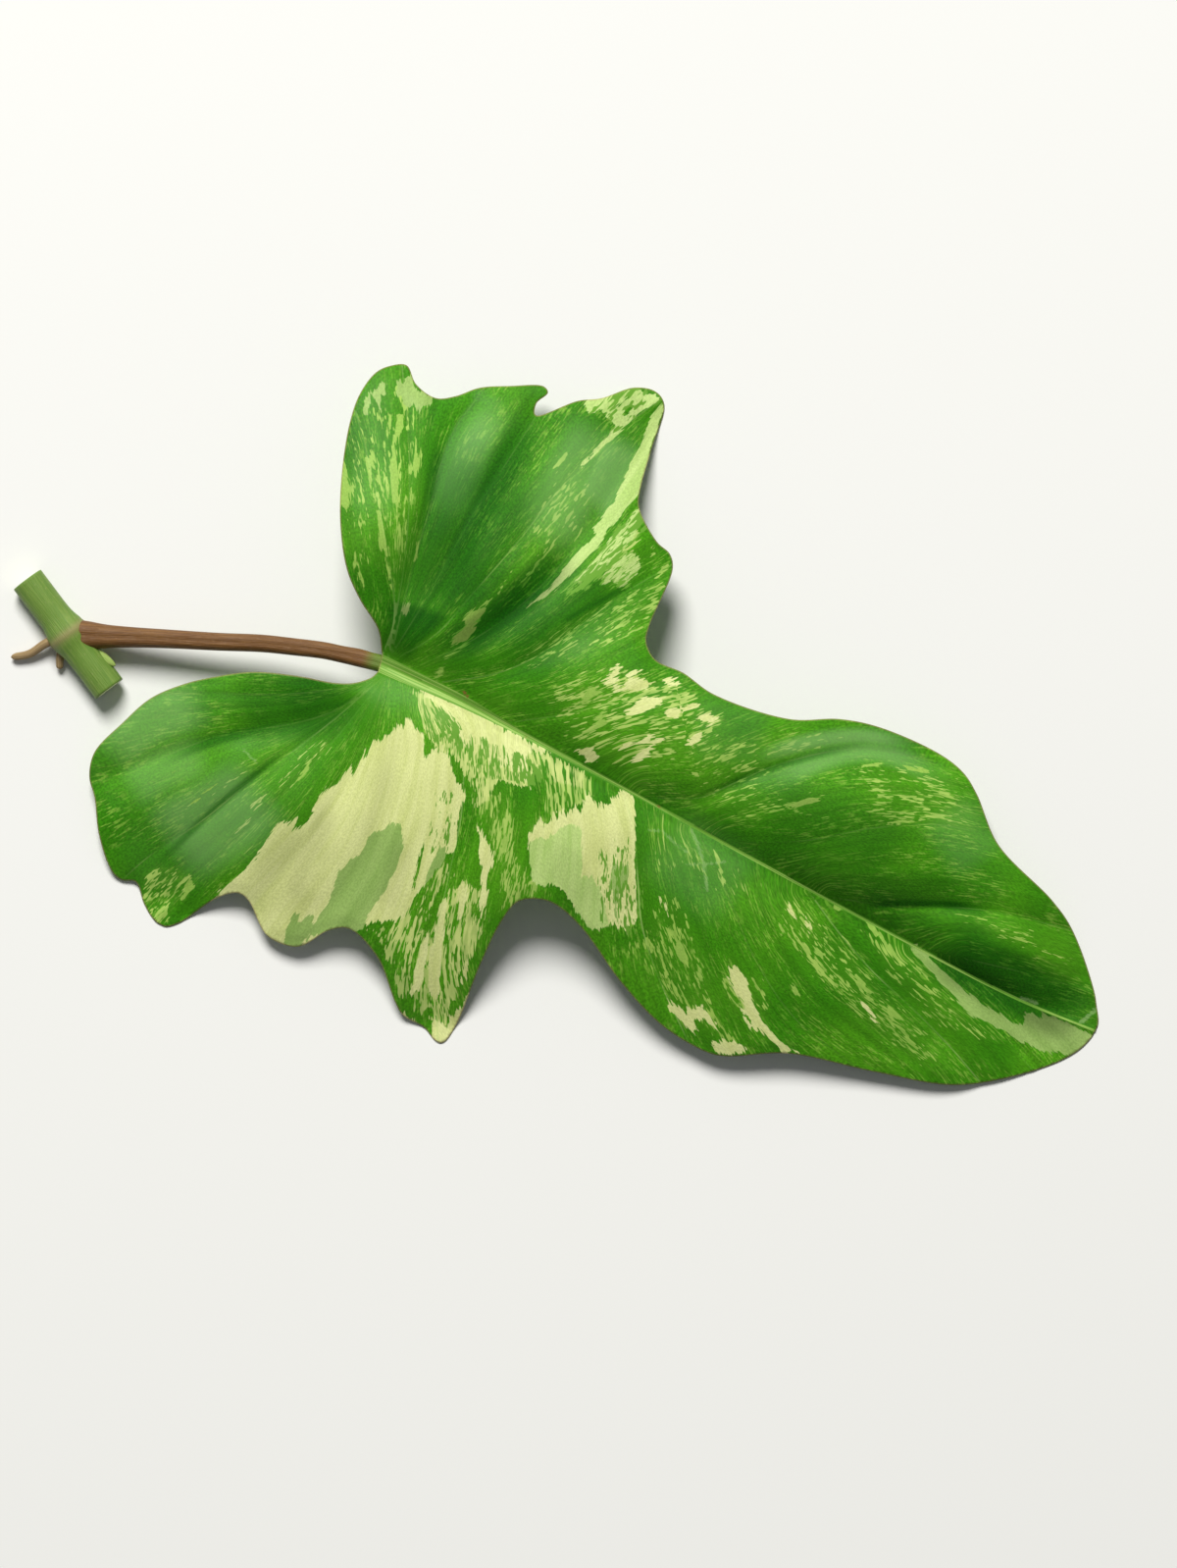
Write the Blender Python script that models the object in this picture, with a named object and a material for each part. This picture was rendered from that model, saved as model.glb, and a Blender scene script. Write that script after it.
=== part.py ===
"""A variegated philodendron cutting: one lobed leaf on its stalk, with the short piece of stem it grew from.

The cutting lies face up on a flat surface. Numbers below are millimetres in the leaf's own plan: x runs along
the midrib from the leaf's base to its tip, y across it, z up. The whole is then moved by PLAN_CENTRE, so that
the origin is under the middle of its box, on the surface that it lies on.
"""

import math
from collections import namedtuple

import bmesh
import bpy
import numpy as np
from mathutils import Vector
from mathutils.geometry import delaunay_2d_cdt

MM = 0.001
PLAN_CENTRE = (66.485, 5.19)

# Leaf blade. FLOOR_BLEND is how far above the surface a pressed tip starts to flatten
BLADE_THICKNESS = 0.9
FLOOR_BLEND = 1.5
BLADE_SHARP_DEGREES = 55.0
ROUND_SHARP_DEGREES = 40.0

# Spacing of the blade's mesh points over its open areas, along its edge, along its ribs and across its base
POINT_SPACING = 5.0
EDGE_SPACING = 4.0
RIB_SPACING = 5.5
BASE_EDGE_STEPS = 6
CURVE_STEP = 4.0

# How near to the outline, to a rib's points and to any point a further point of the mesh may lie
EDGE_GAP = 1.7
RIB_GAP = 1.25
GRID_GAP = 3.1
POINTS_ALIKE = 1e-6

# The leaf's edge from the upper side of its base, round the tip, to the lower side of its base
MARGIN = (
    # Upper rear lobe
    (-2.3, 2.3), (-6.8, 8.6), (-15.8, 14.1), (-23.4, 20.3), (-31.6, 31.6), (-38.4, 45.3), (-43.9, 61.0),
    (-45.3, 70.1), (-44.1, 78.2), (-41.3, 82.0), (-36.9, 84.6), (-31.5, 80.7), (-24.2, 79.7), (-19.2, 83.0),
    # Its small second point and the notch
    (-14.0, 88.7), (-5.8, 93.7), (3.3, 98.4), (5.4, 97.3), (3.8, 92.6), (5.3, 89.3),
    # Upper side lobe
    (14.7, 99.3), (20.6, 103.4), (28.0, 111.3), (34.4, 113.3), (38.6, 111.0), (41.5, 97.0), (44.3, 83.9),
    (46.6, 78.7), (56.3, 71.9), (61.4, 70.5), (64.3, 66.9), (66.2, 46.9), (67.6, 42.8), (72.5, 39.4),
    # Upper side of the long front lobe
    (81.8, 39.8), (93.0, 38.3), (117.0, 42.3), (130.8, 49.5), (142.9, 53.0), (163.5, 54.3), (172.5, 52.5),
    (178.9, 48.7), (191.9, 38.0), (214.7, 30.5), (224.3, 25.7), (238.2, 13.3), (242.2, 8.3), (245.5, 2.8),
    # Lower side of the front lobe
    (244.7, -4.3), (240.9, -11.3), (229.9, -22.8), (214.4, -33.9), (190.4, -41.6), (164.3, -48.8),
    (148.0, -58.3), (142.4, -59.9), (126.4, -59.0), (109.1, -53.1), (90.7, -43.8), (80.5, -41.0),
    (74.9, -41.7),
    # Lower side lobe
    (69.3, -45.5), (67.6, -54.0), (68.0, -68.0), (69.9, -88.8), (68.7, -95.1), (66.2, -95.4), (61.5, -93.5),
    (54.2, -93.2), (50.3, -90.8), (39.0, -80.8), (27.1, -76.9), (21.8, -80.3), (17.2, -87.7), (14.3, -89.9),
    (5.5, -90.5), (-4.2, -83.7), (-7.9, -82.9), (-13.0, -86.9),
    # Lower rear lobe
    (-20.5, -100.0), (-24.0, -102.9), (-28.1, -102.3), (-32.8, -99.4), (-38.0, -94.7), (-42.1, -96.2),
    (-45.8, -95.3), (-54.6, -86.9), (-61.0, -77.4), (-65.4, -72.5), (-67.4, -65.0), (-63.8, -53.0),
    (-59.4, -42.1), (-52.1, -33.4), (-44.5, -27.0), (-35.2, -20.6), (-22.0, -15.2), (-11.1, -11.9),
    (-5.8, -9.1), (-2.0, -5.2), (-1.1, -2.7),
)

# Midrib: its route, and from base to tip its half width and how deep it stands out below the blade
MIDRIB = (
    (-1.7, -0.2), (26.0, 1.0), (47.0, 0.7), (84.0, 0.3), (124.0, -0.6), (181.0, -1.5), (220.0, -1.3),
    (245.3, 1.0),
)
MIDRIB_HALF_WIDTH = (2.7, 0.8)
MIDRIB_DEPTH = (4.4, 0.5)
MIDRIB_CROWN = 0.5
MIDRIB_SHOULDER = 0.55

# The fold along the midrib: how far each side rises from it, and over which distance, at base and tip
Fold = namedtuple("Fold", "rises widths")
UPPER_FOLD = Fold((19.0, 11.5), (22.0, 9.0))
LOWER_FOLD = Fold((4.0, 3.0), (11.0, 9.0))
FOLD_REACH = 85.0
FOLD_END = (205.0, 246.0)
# Lines of mesh points beside the midrib, where the blade bends most
FOLD_LINES = (2.4, 5.6)

# Side ribs, in order from the leaf's rear to its tip. Above each lies a crease: its depth, the width of its
# walls and how round its floor is
Rib = namedtuple("Rib", "depth width softness route")
UPPER_RIBS = (
    Rib(1.0, 6.0, 0.5, (
        (-2.4, 5.0), (-3.2, 11.5), (-6.6, 19.1), (-13.7, 28.5), (-23.2, 41.4), (-33.5, 53.3), (-43.7, 64.5))),
    Rib(0.8, 6.0, 0.5, (
        (-1.4, 6.0), (-4.6, 17.0), (-10.0, 33.0), (-19.0, 53.0), (-29.0, 70.0), (-38.5, 84.5))),
    Rib(5.2, 8.0, 1.2, (
        (-0.6, 7.0), (-4.4, 23.0), (-7.6, 37.3), (-10.2, 50.0), (-13.4, 63.0), (-14.6, 74.0), (-13.4, 84.0))),
    Rib(7.0, 11.0, 2.0, (
        (0.6, 6.0), (2.0, 24.0), (2.6, 40.0), (2.8, 54.0), (4.2, 70.0), (5.5, 88.0))),
    Rib(1.2, 6.0, 0.4, (
        (3.0, 4.5), (9.5, 15.0), (14.0, 32.0), (19.0, 52.9), (21.8, 69.0), (27.6, 91.5), (37.0, 112.5))),
    Rib(7.4, 11.0, 1.8, (
        (8.0, 3.0), (19.0, 17.0), (27.6, 33.0), (33.0, 50.0), (35.8, 66.0), (37.6, 82.0), (38.6, 104.0))),
    Rib(4.2, 9.0, 1.2, (
        (18.0, 3.5), (31.0, 13.0), (39.8, 23.4), (46.9, 37.0), (54.6, 53.0), (64.0, 68.5))),
    Rib(1.2, 8.0, 0.8, (
        (44.0, 3.5), (57.0, 13.0), (69.0, 25.0), (82.0, 40.0))),
    Rib(4.0, 8.0, 0.4, (
        (93.0, 2.6), (104.0, 8.5), (111.1, 17.2), (120.0, 28.0), (135.9, 41.5), (150.0, 48.0),
        (163.0, 51.0))),
    Rib(0.7, 6.0, 0.5, (
        (122.0, 2.4), (139.0, 12.0), (155.0, 24.5), (172.0, 34.5), (190.0, 40.0))),
    Rib(4.8, 8.5, 0.4, (
        (158.0, 1.4), (173.4, 6.8), (184.0, 12.3), (196.0, 17.6), (210.0, 21.8), (226.0, 25.4))),
    Rib(0.8, 5.0, 0.5, (
        (203.0, 3.2), (214.0, 6.0), (226.0, 8.8), (240.0, 11.0))),
)
LOWER_RIBS = (
    Rib(0.8, 5.0, 0.5, (
        (-3.0, -7.5), (-13.0, -15.5), (-26.0, -23.6), (-44.7, -32.6), (-58.5, -40.5))),
    Rib(5.0, 9.0, 1.5, (
        (-1.8, -7.5), (-6.0, -17.6), (-13.0, -25.5), (-25.0, -35.0), (-37.4, -44.8), (-51.8, -61.1),
        (-64.0, -74.5))),
    Rib(2.6, 7.0, 0.5, (
        (-0.6, -7.5), (-5.0, -19.0), (-12.6, -35.6), (-20.6, -51.3), (-28.0, -68.0), (-38.0, -86.0),
        (-42.0, -96.0))),
    Rib(1.0, 7.0, 0.6, (
        (0.6, -7.0), (-2.0, -22.0), (-7.0, -42.0), (-14.0, -64.0), (-22.0, -85.0), (-27.0, -102.5))),
    Rib(2.2, 7.0, 1.5, (
        (2.4, -6.0), (4.6, -20.0), (5.6, -42.0), (3.4, -60.0), (-2.0, -83.0))),
    Rib(2.2, 7.0, 1.5, (
        (7.0, -4.4), (14.0, -18.0), (19.0, -38.0), (20.6, -58.0), (18.6, -74.0), (17.0, -87.0))),
    Rib(1.4, 6.0, 0.3, (
        (24.0, -2.8), (30.6, -7.0), (37.5, -20.1), (42.0, -30.6), (47.4, -50.0), (53.6, -71.0),
        (67.0, -95.0))),
    Rib(0.8, 7.0, 0.5, (
        (54.0, -2.6), (62.0, -13.0), (68.0, -27.0), (72.5, -43.0))),
    Rib(1.6, 6.0, 0.3, (
        (84.0, -2.6), (90.3, -9.2), (99.0, -23.0), (106.0, -34.0), (118.0, -46.0), (136.0, -60.0))),
    Rib(0.8, 7.0, 0.5, (
        (111.0, -3.2), (124.0, -13.0), (141.0, -27.0), (161.0, -38.0), (186.0, -43.0))),
    Rib(2.6, 7.0, 0.6, (
        (150.0, -3.2), (161.4, -8.7), (176.0, -14.4), (193.4, -19.2), (208.0, -24.0), (222.0, -29.6))),
    Rib(0.8, 5.0, 0.5, (
        (188.0, -3.4), (203.0, -8.0), (218.0, -12.6), (234.0, -18.6))),
)
# A crease is this share shallower at its start, up to CREASE_START of its length, and at its end
CREASE_START_LOSS = 0.75
CREASE_START = 0.22
CREASE_END_LOSS = 0.45
# Below its crease each rib stands out by RIB_KEEL, less RIB_THINNING of that at its end
RIB_SIDE_OFFSET = 1.8
RIB_KEEL = 0.8
RIB_THINNING = 0.6

# Heights of the blade's mid surface above the surface that it lies on: (x, y, height)
SHEET_HEIGHTS = (
    (0.0, 0.0, 26.0), (35.0, 0.0, 26.5), (75.0, 0.0, 26.0), (115.0, 0.0, 22.5), (155.0, 0.0, 16.5),
    (195.0, 0.0, 8.5), (225.0, 0.0, 2.2), (243.0, 2.0, -2.2),
    # Upper side
    (-15.0, 12.0, 22.0), (-38.0, 45.0, 18.0), (-42.0, 78.0, 11.0), (-18.0, 40.0, 24.0), (-24.0, 79.0, 12.0),
    (0.0, 95.0, 9.0), (10.0, 60.0, 24.0), (24.0, 104.0, 5.0), (36.5, 112.0, -2.4), (44.0, 82.0, 11.0),
    (63.0, 68.0, 11.0), (45.0, 40.0, 25.0), (70.0, 40.0, 21.0), (95.0, 38.0, 20.0), (130.0, 49.0, 13.5),
    (165.0, 54.0, 7.0), (150.0, 28.0, 16.0), (190.0, 39.0, 5.5), (218.0, 28.0, 2.0), (238.0, 12.0, -0.5),
    # Lower side
    (-22.0, -16.0, 20.0), (-60.0, -42.0, 12.0), (-66.0, -68.0, 8.0), (-30.0, -45.0, 20.0),
    (-44.0, -95.0, 3.0), (-25.0, -101.0, -2.2), (-8.0, -80.0, 9.0), (0.0, -40.0, 22.0), (10.0, -90.0, 6.0),
    (27.0, -76.0, 11.0), (40.0, -45.0, 20.0), (52.0, -91.0, 3.6), (68.0, -94.0, -2.2), (70.0, -45.0, 19.0),
    (95.0, -45.0, 15.0), (145.0, -59.0, 6.0), (120.0, -25.0, 19.0), (165.0, -25.0, 13.0),
    (190.0, -41.0, 4.5), (230.0, -22.0, 1.0),
)

# Leaf stalk: (x, y, z, radius) of its centre line from where it leaves the leaf to inside the stem
STALK = (
    (-8.6, -1.8, 18.0, 2.75), (-13.2, -3.1, 17.2, 2.6), (-19.0, -4.7, 16.2, 2.6), (-27.6, -7.9, 14.8, 2.65),
    (-36.8, -11.5, 13.3, 2.7), (-49.4, -17.4, 11.5, 2.75), (-63.2, -23.6, 9.7, 2.9), (-74.0, -28.6, 8.2, 3.2),
    (-81.0, -31.9, 7.2, 3.7), (-85.6, -34.0, 6.6, 4.4), (-89.5, -35.8, 6.1, 4.8),
)
STALK_START_RADIUS = 2.65
STALK_SIDES = 16
STALK_STEP = 3.2
STALK_FLAT = 0.93
# The groove along its upper side, as a share of its radius, and its width in radians
STALK_GROOVE = 0.13
STALK_GROOVE_WIDTH = 0.32

# Stem piece, lying on the surface, with its underside pressed flat
STEM_MIDDLE = (-91.4, -36.6)
STEM_DIRECTION = (0.901, -0.433)
STEM_HALF_LENGTH = 21.0
STEM_RADIUS = 5.2
NODE_SWELL = 1.3
NODE_WIDTH = 4.0
STEM_SIDES = 24
STEM_STEP = 2.0
STEM_FLAT_DEPTH = 0.22
CLEARANCE = 0.3

# Aerial roots: (route from inside the node outwards, radius at the root, radius at the tip)
AERIAL_ROOTS = (
    (((-93.0, -38.0, 4.6), (-96.5, -42.5, 3.8), (-99.5, -47.5, 2.2), (-104.0, -51.0, 1.7)), 1.5, 1.1),
    (((-90.5, -38.5, 4.2), (-90.8, -43.0, 3.2), (-89.0, -47.4, 1.9)), 1.4, 1.1),
)
ROOT_SIDES = 12
ROOT_STEP = 1.6
ROOT_TIP_ROUNDING = (0.85, 0.45)

# The bud: where it starts from the node, along the stem, towards the stalk and up, and which way it leans
BUD_START = (9.5, 3.4, 0.8)
BUD_LEAN = (0.93, 0.33, 0.14)
BUD_LENGTH = 7.5
BUD_RADIUS = 1.7
BUD_SIDES = 12
BUD_RINGS = 7
BUD_TAPER = 1.6
BUD_TIP_SHARE = 0.02

COLOURS = {
    "leaf": ((0.055, 0.215, 0.018), 0.42),
    "stalk": ((0.205, 0.085, 0.045), 0.55),
    "stem": ((0.115, 0.190, 0.040), 0.55),
}


def clear_scene():
    """Removes every object that is there at the start."""
    for obj in list(bpy.data.objects):
        bpy.data.objects.remove(obj, do_unlink=True)


def finish_named(name):
    """A plain material in this colour and roughness."""
    colour, roughness = COLOURS[name]
    material = bpy.data.materials.new(name)
    material.use_nodes = True
    shader = material.node_tree.nodes["Principled BSDF"]
    shader.inputs["Base Color"].default_value = (*colour, 1.0)
    shader.inputs["Roughness"].default_value = roughness
    shader.inputs["Metallic"].default_value = 0.0
    return material


def smooth_curve(points, step):
    """Points along a centripetal Catmull-Rom curve that keeps each of the given points."""
    points = np.asarray(points, float)
    ends = np.vstack([2 * points[0] - points[1], points, 2 * points[-1] - points[-2]])
    out = [points[0]]
    for before, start, end, after in zip(ends[:-3], ends[1:-2], ends[2:-1], ends[3:]):
        gaps = [math.sqrt(np.linalg.norm(b - a)) for a, b in ((before, start), (start, end), (end, after))]
        t0, t1, t2, t3 = np.concatenate([[0.0], np.cumsum(gaps)])
        count = max(1, math.ceil(np.linalg.norm(end - start) / step))
        for t in np.linspace(t1, t2, count + 1)[1:]:
            a1 = (t1 - t) / (t1 - t0) * before + (t - t0) / (t1 - t0) * start
            a2 = (t2 - t) / (t2 - t1) * start + (t - t1) / (t2 - t1) * end
            a3 = (t3 - t) / (t3 - t2) * end + (t - t2) / (t3 - t2) * after
            b1 = (t2 - t) / (t2 - t0) * a1 + (t - t0) / (t2 - t0) * a2
            b2 = (t3 - t) / (t3 - t1) * a2 + (t - t1) / (t3 - t1) * a3
            out.append((t2 - t) / (t2 - t1) * b1 + (t - t1) / (t2 - t1) * b2)
    return np.array(out)


def even_curve(points, step):
    """The same curve, with its points evenly spaced."""
    fine = smooth_curve(points, step / 8)
    lengths = np.concatenate([[0.0], np.cumsum(np.linalg.norm(np.diff(fine, axis=0), axis=1))])
    wanted = np.linspace(0.0, lengths[-1], max(2, round(lengths[-1] / step)) + 1)
    return np.stack([np.interp(wanted, lengths, fine[:, axis]) for axis in range(fine.shape[1])], axis=1)


def distance_to(curve, points):
    """Each point's distance to a curve, and how far along the curve its nearest place is, from 0 to 1."""
    best = np.full(len(points), np.inf)
    place = np.zeros(len(points))
    last = len(curve) - 1
    for index, (start, end) in enumerate(zip(curve[:-1], curve[1:])):
        along = end - start
        share = np.clip((points - start) @ along / (along @ along), 0.0, 1.0)
        gap = np.linalg.norm(points - start - share[:, None] * along, axis=1)
        nearer = gap < best
        best[nearer] = gap[nearer]
        place[nearer] = (index + share[nearer]) / last
    return best, place


def inside(outline, points):
    """Which points lie inside a closed outline."""
    crossed = np.zeros(len(points), bool)
    for start, end in zip(outline, np.roll(outline, -1, axis=0)):
        spans = (start[1] > points[:, 1]) != (end[1] > points[:, 1])
        rise = end[1] - start[1] if end[1] != start[1] else 1.0
        edge_x = start[0] + (points[:, 1] - start[1]) * (end[0] - start[0]) / rise
        crossed ^= spans & (points[:, 0] < edge_x)
    return crossed


def sheet_height(points):
    """The smooth sheet through SHEET_HEIGHTS: a thin-plate spline."""
    known = np.array(SHEET_HEIGHTS)

    def spline(gap):
        safe = np.maximum(gap, 1e-9)
        return safe**2 * np.log(safe)

    count = len(known)
    plane = np.column_stack([np.ones(count), known[:, :2]])
    system = np.zeros((count + 3, count + 3))
    system[:count, :count] = spline(np.linalg.norm(known[:, None, :2] - known[None, :, :2], axis=2))
    system[:count, count:] = plane
    system[count:, :count] = plane.T
    weights = np.linalg.solve(system, np.concatenate([known[:, 2], np.zeros(3)]))
    pull = spline(np.linalg.norm(points[:, None, :] - known[None, :, :2], axis=2)) @ weights[:count]
    return pull + np.column_stack([np.ones(len(points)), points]) @ weights[count:]


def crease_strength(place):
    """How much of its depth a crease has along its rib: little at its start, full in its middle."""
    start = 1.0 - CREASE_START_LOSS * np.exp(-((place / CREASE_START) ** 2))
    return start * (1.0 - CREASE_END_LOSS * place**3)


def fold_height(fold, points, from_midrib):
    """How far one side of the blade rises from the midrib."""
    share = np.clip(points[:, 0] / FOLD_END[0], 0.0, 1.0)
    rise = np.interp(share, (0.0, 1.0), fold.rises)
    width = np.interp(share, (0.0, 1.0), fold.widths)
    end = np.clip((FOLD_END[1] - points[:, 0]) / (FOLD_END[1] - FOLD_END[0]), 0.0, 1.0)
    end = end * end * (3 - 2 * end)
    return end * rise * (1 - np.exp(-from_midrib / width)) * np.exp(-((from_midrib / FOLD_REACH) ** 2))


def above_floor(height):
    """Presses what would lie below the surface flat onto it, with a short blend."""
    blended = (height + FLOOR_BLEND) ** 2 / (4 * FLOOR_BLEND)
    return np.where(height > FLOOR_BLEND, height, np.where(height < -FLOOR_BLEND, 0.0, blended))


def blade_faces(points):
    """Heights of the blade's upper and lower faces over points of its plan."""
    midrib = smooth_curve(MIDRIB, CURVE_STEP)
    from_midrib, place = distance_to(midrib, points)
    upper = points[:, 1] > np.interp(points[:, 0], midrib[:, 0], midrib[:, 1])
    folds = [fold_height(fold, points, from_midrib) for fold in (UPPER_FOLD, LOWER_FOLD)]
    top = sheet_height(points) + np.where(upper, *folds)
    keel = np.zeros(len(points))
    for rib in UPPER_RIBS + LOWER_RIBS:
        gap, along = distance_to(smooth_curve(rib.route, CURVE_STEP), points)
        rounded = np.sqrt(gap**2 + rib.softness**2) - rib.softness
        top -= rib.depth * crease_strength(along) * np.exp(-rounded / rib.width)
        ridge = RIB_KEEL * (1 - RIB_THINNING * along) * np.clip(1 - gap / RIB_SIDE_OFFSET, 0.0, 1.0)
        keel = np.maximum(keel, ridge)
    half_width = np.interp(place, (0.0, 1.0), MIDRIB_HALF_WIDTH)
    round_part = np.sqrt(np.clip(1 - (from_midrib / half_width) ** 2, 0.0, 1.0))
    top += MIDRIB_CROWN * round_part * (1 - place)
    keel = np.maximum(keel, np.interp(place, (0.0, 1.0), MIDRIB_DEPTH) * round_part)
    thickness = BLADE_THICKNESS + keel
    bottom = above_floor(top - thickness)
    return bottom + thickness, bottom


def nearest_gap(points, others):
    """Each point's distance to the nearest of some others."""
    return np.min(np.linalg.norm(points[:, None, :] - others[None, :, :], axis=2), axis=1)


def blade_outline():
    """The blade's edge, closed by the short straight side where the stalk joins it."""
    edge = smooth_curve(MARGIN, EDGE_SPACING)
    shares = np.linspace(0.0, 1.0, BASE_EDGE_STEPS + 1)[1:-1, None]
    return np.vstack([edge, edge[-1] + shares * (edge[0] - edge[-1])])


def beside(line, offset):
    """A line of points moved sideways."""
    along = np.gradient(line, axis=0)
    across = np.column_stack([-along[:, 1], along[:, 0]]) / np.linalg.norm(along, axis=1)[:, None]
    return line + across * np.reshape(offset, (-1, 1))


def rib_lines():
    """Lines of points along the crest of the midrib and of each side rib, and lines of points beside them."""
    midrib = even_curve(MIDRIB, RIB_SPACING)[1:-1]
    half_width = np.linspace(*MIDRIB_HALF_WIDTH, len(midrib))
    crests, others = [midrib], []
    for side in (1.0, -1.0):
        others += [beside(midrib, side * share * half_width) for share in (MIDRIB_SHOULDER, 1.0)]
        others += [beside(midrib, side * (half_width + gap)) for gap in FOLD_LINES]
    for rib in UPPER_RIBS + LOWER_RIBS:
        crest = even_curve(rib.route, RIB_SPACING)
        crests.append(crest)
        others += [beside(crest, offset) for offset in (RIB_SIDE_OFFSET, -RIB_SIDE_OFFSET)]
    return crests, others


def grid_points(low, high):
    """Points in staggered rows over a box."""
    rows = np.arange(low[1], high[1], POINT_SPACING * math.sqrt(3) / 2)
    starts = low[0] + (np.arange(len(rows)) % 2) * POINT_SPACING / 2
    places = [(x, y) for y, start in zip(rows, starts) for x in np.arange(start, high[0], POINT_SPACING)]
    return np.array(places)


def blade_plan():
    """(points, triangles) of the blade's plan, with edges along the crests of its ribs."""
    outline = blade_outline()
    points, edges = outline, []
    crests, others = rib_lines()
    for line in crests + others:
        free = inside(outline, line)
        free &= nearest_gap(line, outline) > EDGE_GAP
        free &= nearest_gap(line, points) > RIB_GAP
        if any(line is crest for crest in crests):
            number = (len(points) + np.cumsum(free) - 1).tolist()
            joined = np.flatnonzero(free[:-1] & free[1:])
            edges += [(number[i], number[i + 1]) for i in joined]
        points = np.vstack([points, line[free]])
    grid = grid_points(outline.min(axis=0), outline.max(axis=0))
    grid = grid[inside(outline, grid)]
    points = np.vstack([points, grid[nearest_gap(grid, points) > GRID_GAP]])
    ring = list(range(len(outline)))
    result = delaunay_2d_cdt([Vector(p) for p in points], edges, [ring], 1, POINTS_ALIKE)
    return np.array([tuple(v) for v in result[0]]), [tuple(face) for face in result[2]]


def mesh_object(name, vertices, faces, finish, sharp_degrees=ROUND_SHARP_DEGREES):
    """An object from millimetre points in the leaf's plan, shaded smooth with sharp edges kept."""
    moved = np.asarray(vertices, float) - np.array([*PLAN_CENTRE, 0.0])
    mesh = bpy.data.meshes.new(name)
    mesh.from_pydata([tuple(v) for v in moved * MM], [], faces)
    mesh.validate()
    body = bmesh.new()
    body.from_mesh(mesh)
    bmesh.ops.recalc_face_normals(body, faces=body.faces)
    bmesh.ops.triangulate(body, faces=[f for f in body.faces if len(f.verts) > 3])
    body.to_mesh(mesh)
    body.free()
    mesh.shade_smooth()
    mesh.set_sharp_from_angle(angle=math.radians(sharp_degrees))
    mesh.materials.append(finish)
    obj = bpy.data.objects.new(name, mesh)
    bpy.context.scene.collection.objects.link(obj)
    return obj


def leaf_blade(finish):
    """The lobed blade with its creased ribs. Its upper and lower faces are split into triangles alike."""
    plan, triangles = blade_plan()
    top, bottom = blade_faces(plan)
    count = len(plan)
    vertices = np.vstack([np.column_stack([plan, top]), np.column_stack([plan, bottom])])
    sides = {(start, end) for a, b, c in triangles for start, end in ((a, b), (b, c), (c, a))}
    rim = sorted((start, end) for start, end in sides if (end, start) not in sides)
    faces = triangles + [(c + count, b + count, a + count) for a, b, c in triangles]
    faces += [(start, start + count, end) for start, end in rim]
    faces += [(start + count, end + count, end) for start, end in rim]
    return mesh_object("leaf_blade", vertices, faces, finish, BLADE_SHARP_DEGREES)


def tube(centres, radii, sides, shape=None):
    """(vertices, faces) of a closed tube of upright rings along a route. shape(angle) scales the radius."""
    centres = np.asarray(centres, float)
    ahead = np.gradient(centres, axis=0)
    vertices, faces = [], []
    angles = np.arange(sides) * 2 * math.pi / sides
    for centre, along, radius in zip(centres, ahead, radii):
        along = along / np.linalg.norm(along)
        across = np.cross((0.0, 0.0, 1.0), along)
        across /= np.linalg.norm(across)
        up = np.cross(along, across)
        for angle in angles:
            size = radius * (shape(angle) if shape else 1.0)
            vertices.append(centre + size * (math.cos(angle) * across + math.sin(angle) * up))
    rings = len(centres)
    for ring in range(rings - 1):
        for side in range(sides):
            a = ring * sides + side
            b = ring * sides + (side + 1) % sides
            faces.append((a, b, b + sides, a + sides))
    faces.append(tuple(reversed(range(sides))))
    faces.append(tuple(range((rings - 1) * sides, rings * sides)))
    return np.array(vertices), faces


def stalk_shape(angle):
    """The stalk's section: a little flatter than round, with a shallow groove along its upper side."""
    flat = 1.0 - (1.0 - STALK_FLAT) * abs(math.sin(angle))
    return flat - STALK_GROOVE * math.exp(-(((angle - math.pi / 2) / STALK_GROOVE_WIDTH) ** 2))


def stalk_route():
    """(x, y, z, radius) along the stalk, from its flat end at the middle of the blade's base."""
    low, high = np.array(MARGIN[-1]), np.array(MARGIN[0])
    middle = (low + high) / 2
    away = np.array([low[1] - high[1], high[0] - low[0]]) / np.linalg.norm(high - low)
    height = float(np.mean(blade_faces(middle[None, :])))
    start = (*(middle + away * CLEARANCE), height, STALK_START_RADIUS)
    level = (*(middle + away * (CLEARANCE + STALK_STEP)), height, STALK_START_RADIUS)
    return even_curve((start, level, *STALK), STALK_STEP)


def leaf_stalk(finish, stem_room):
    """The leaf's stalk. It ends flat at the blade's base, and its sheath is hollowed to sit on the stem."""
    route = stalk_route()
    vertices, faces = tube(route[:, :3], route[:, 3], STALK_SIDES, stalk_shape)
    stalk = mesh_object("leaf_stalk", vertices, faces, finish)
    saddle = stalk.modifiers.new("saddle", "BOOLEAN")
    saddle.operation = "DIFFERENCE"
    saddle.object = stem_room
    saddle.solver = "EXACT"
    return stalk


def stem_axis():
    """The stem's middle and direction, so low that its underside is pressed flat by STEM_FLAT_DEPTH."""
    direction = np.array([*STEM_DIRECTION, 0.0])
    direction /= np.linalg.norm(direction)
    middle = np.array([*STEM_MIDDLE, STEM_RADIUS - STEM_FLAT_DEPTH])
    return middle, direction


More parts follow.
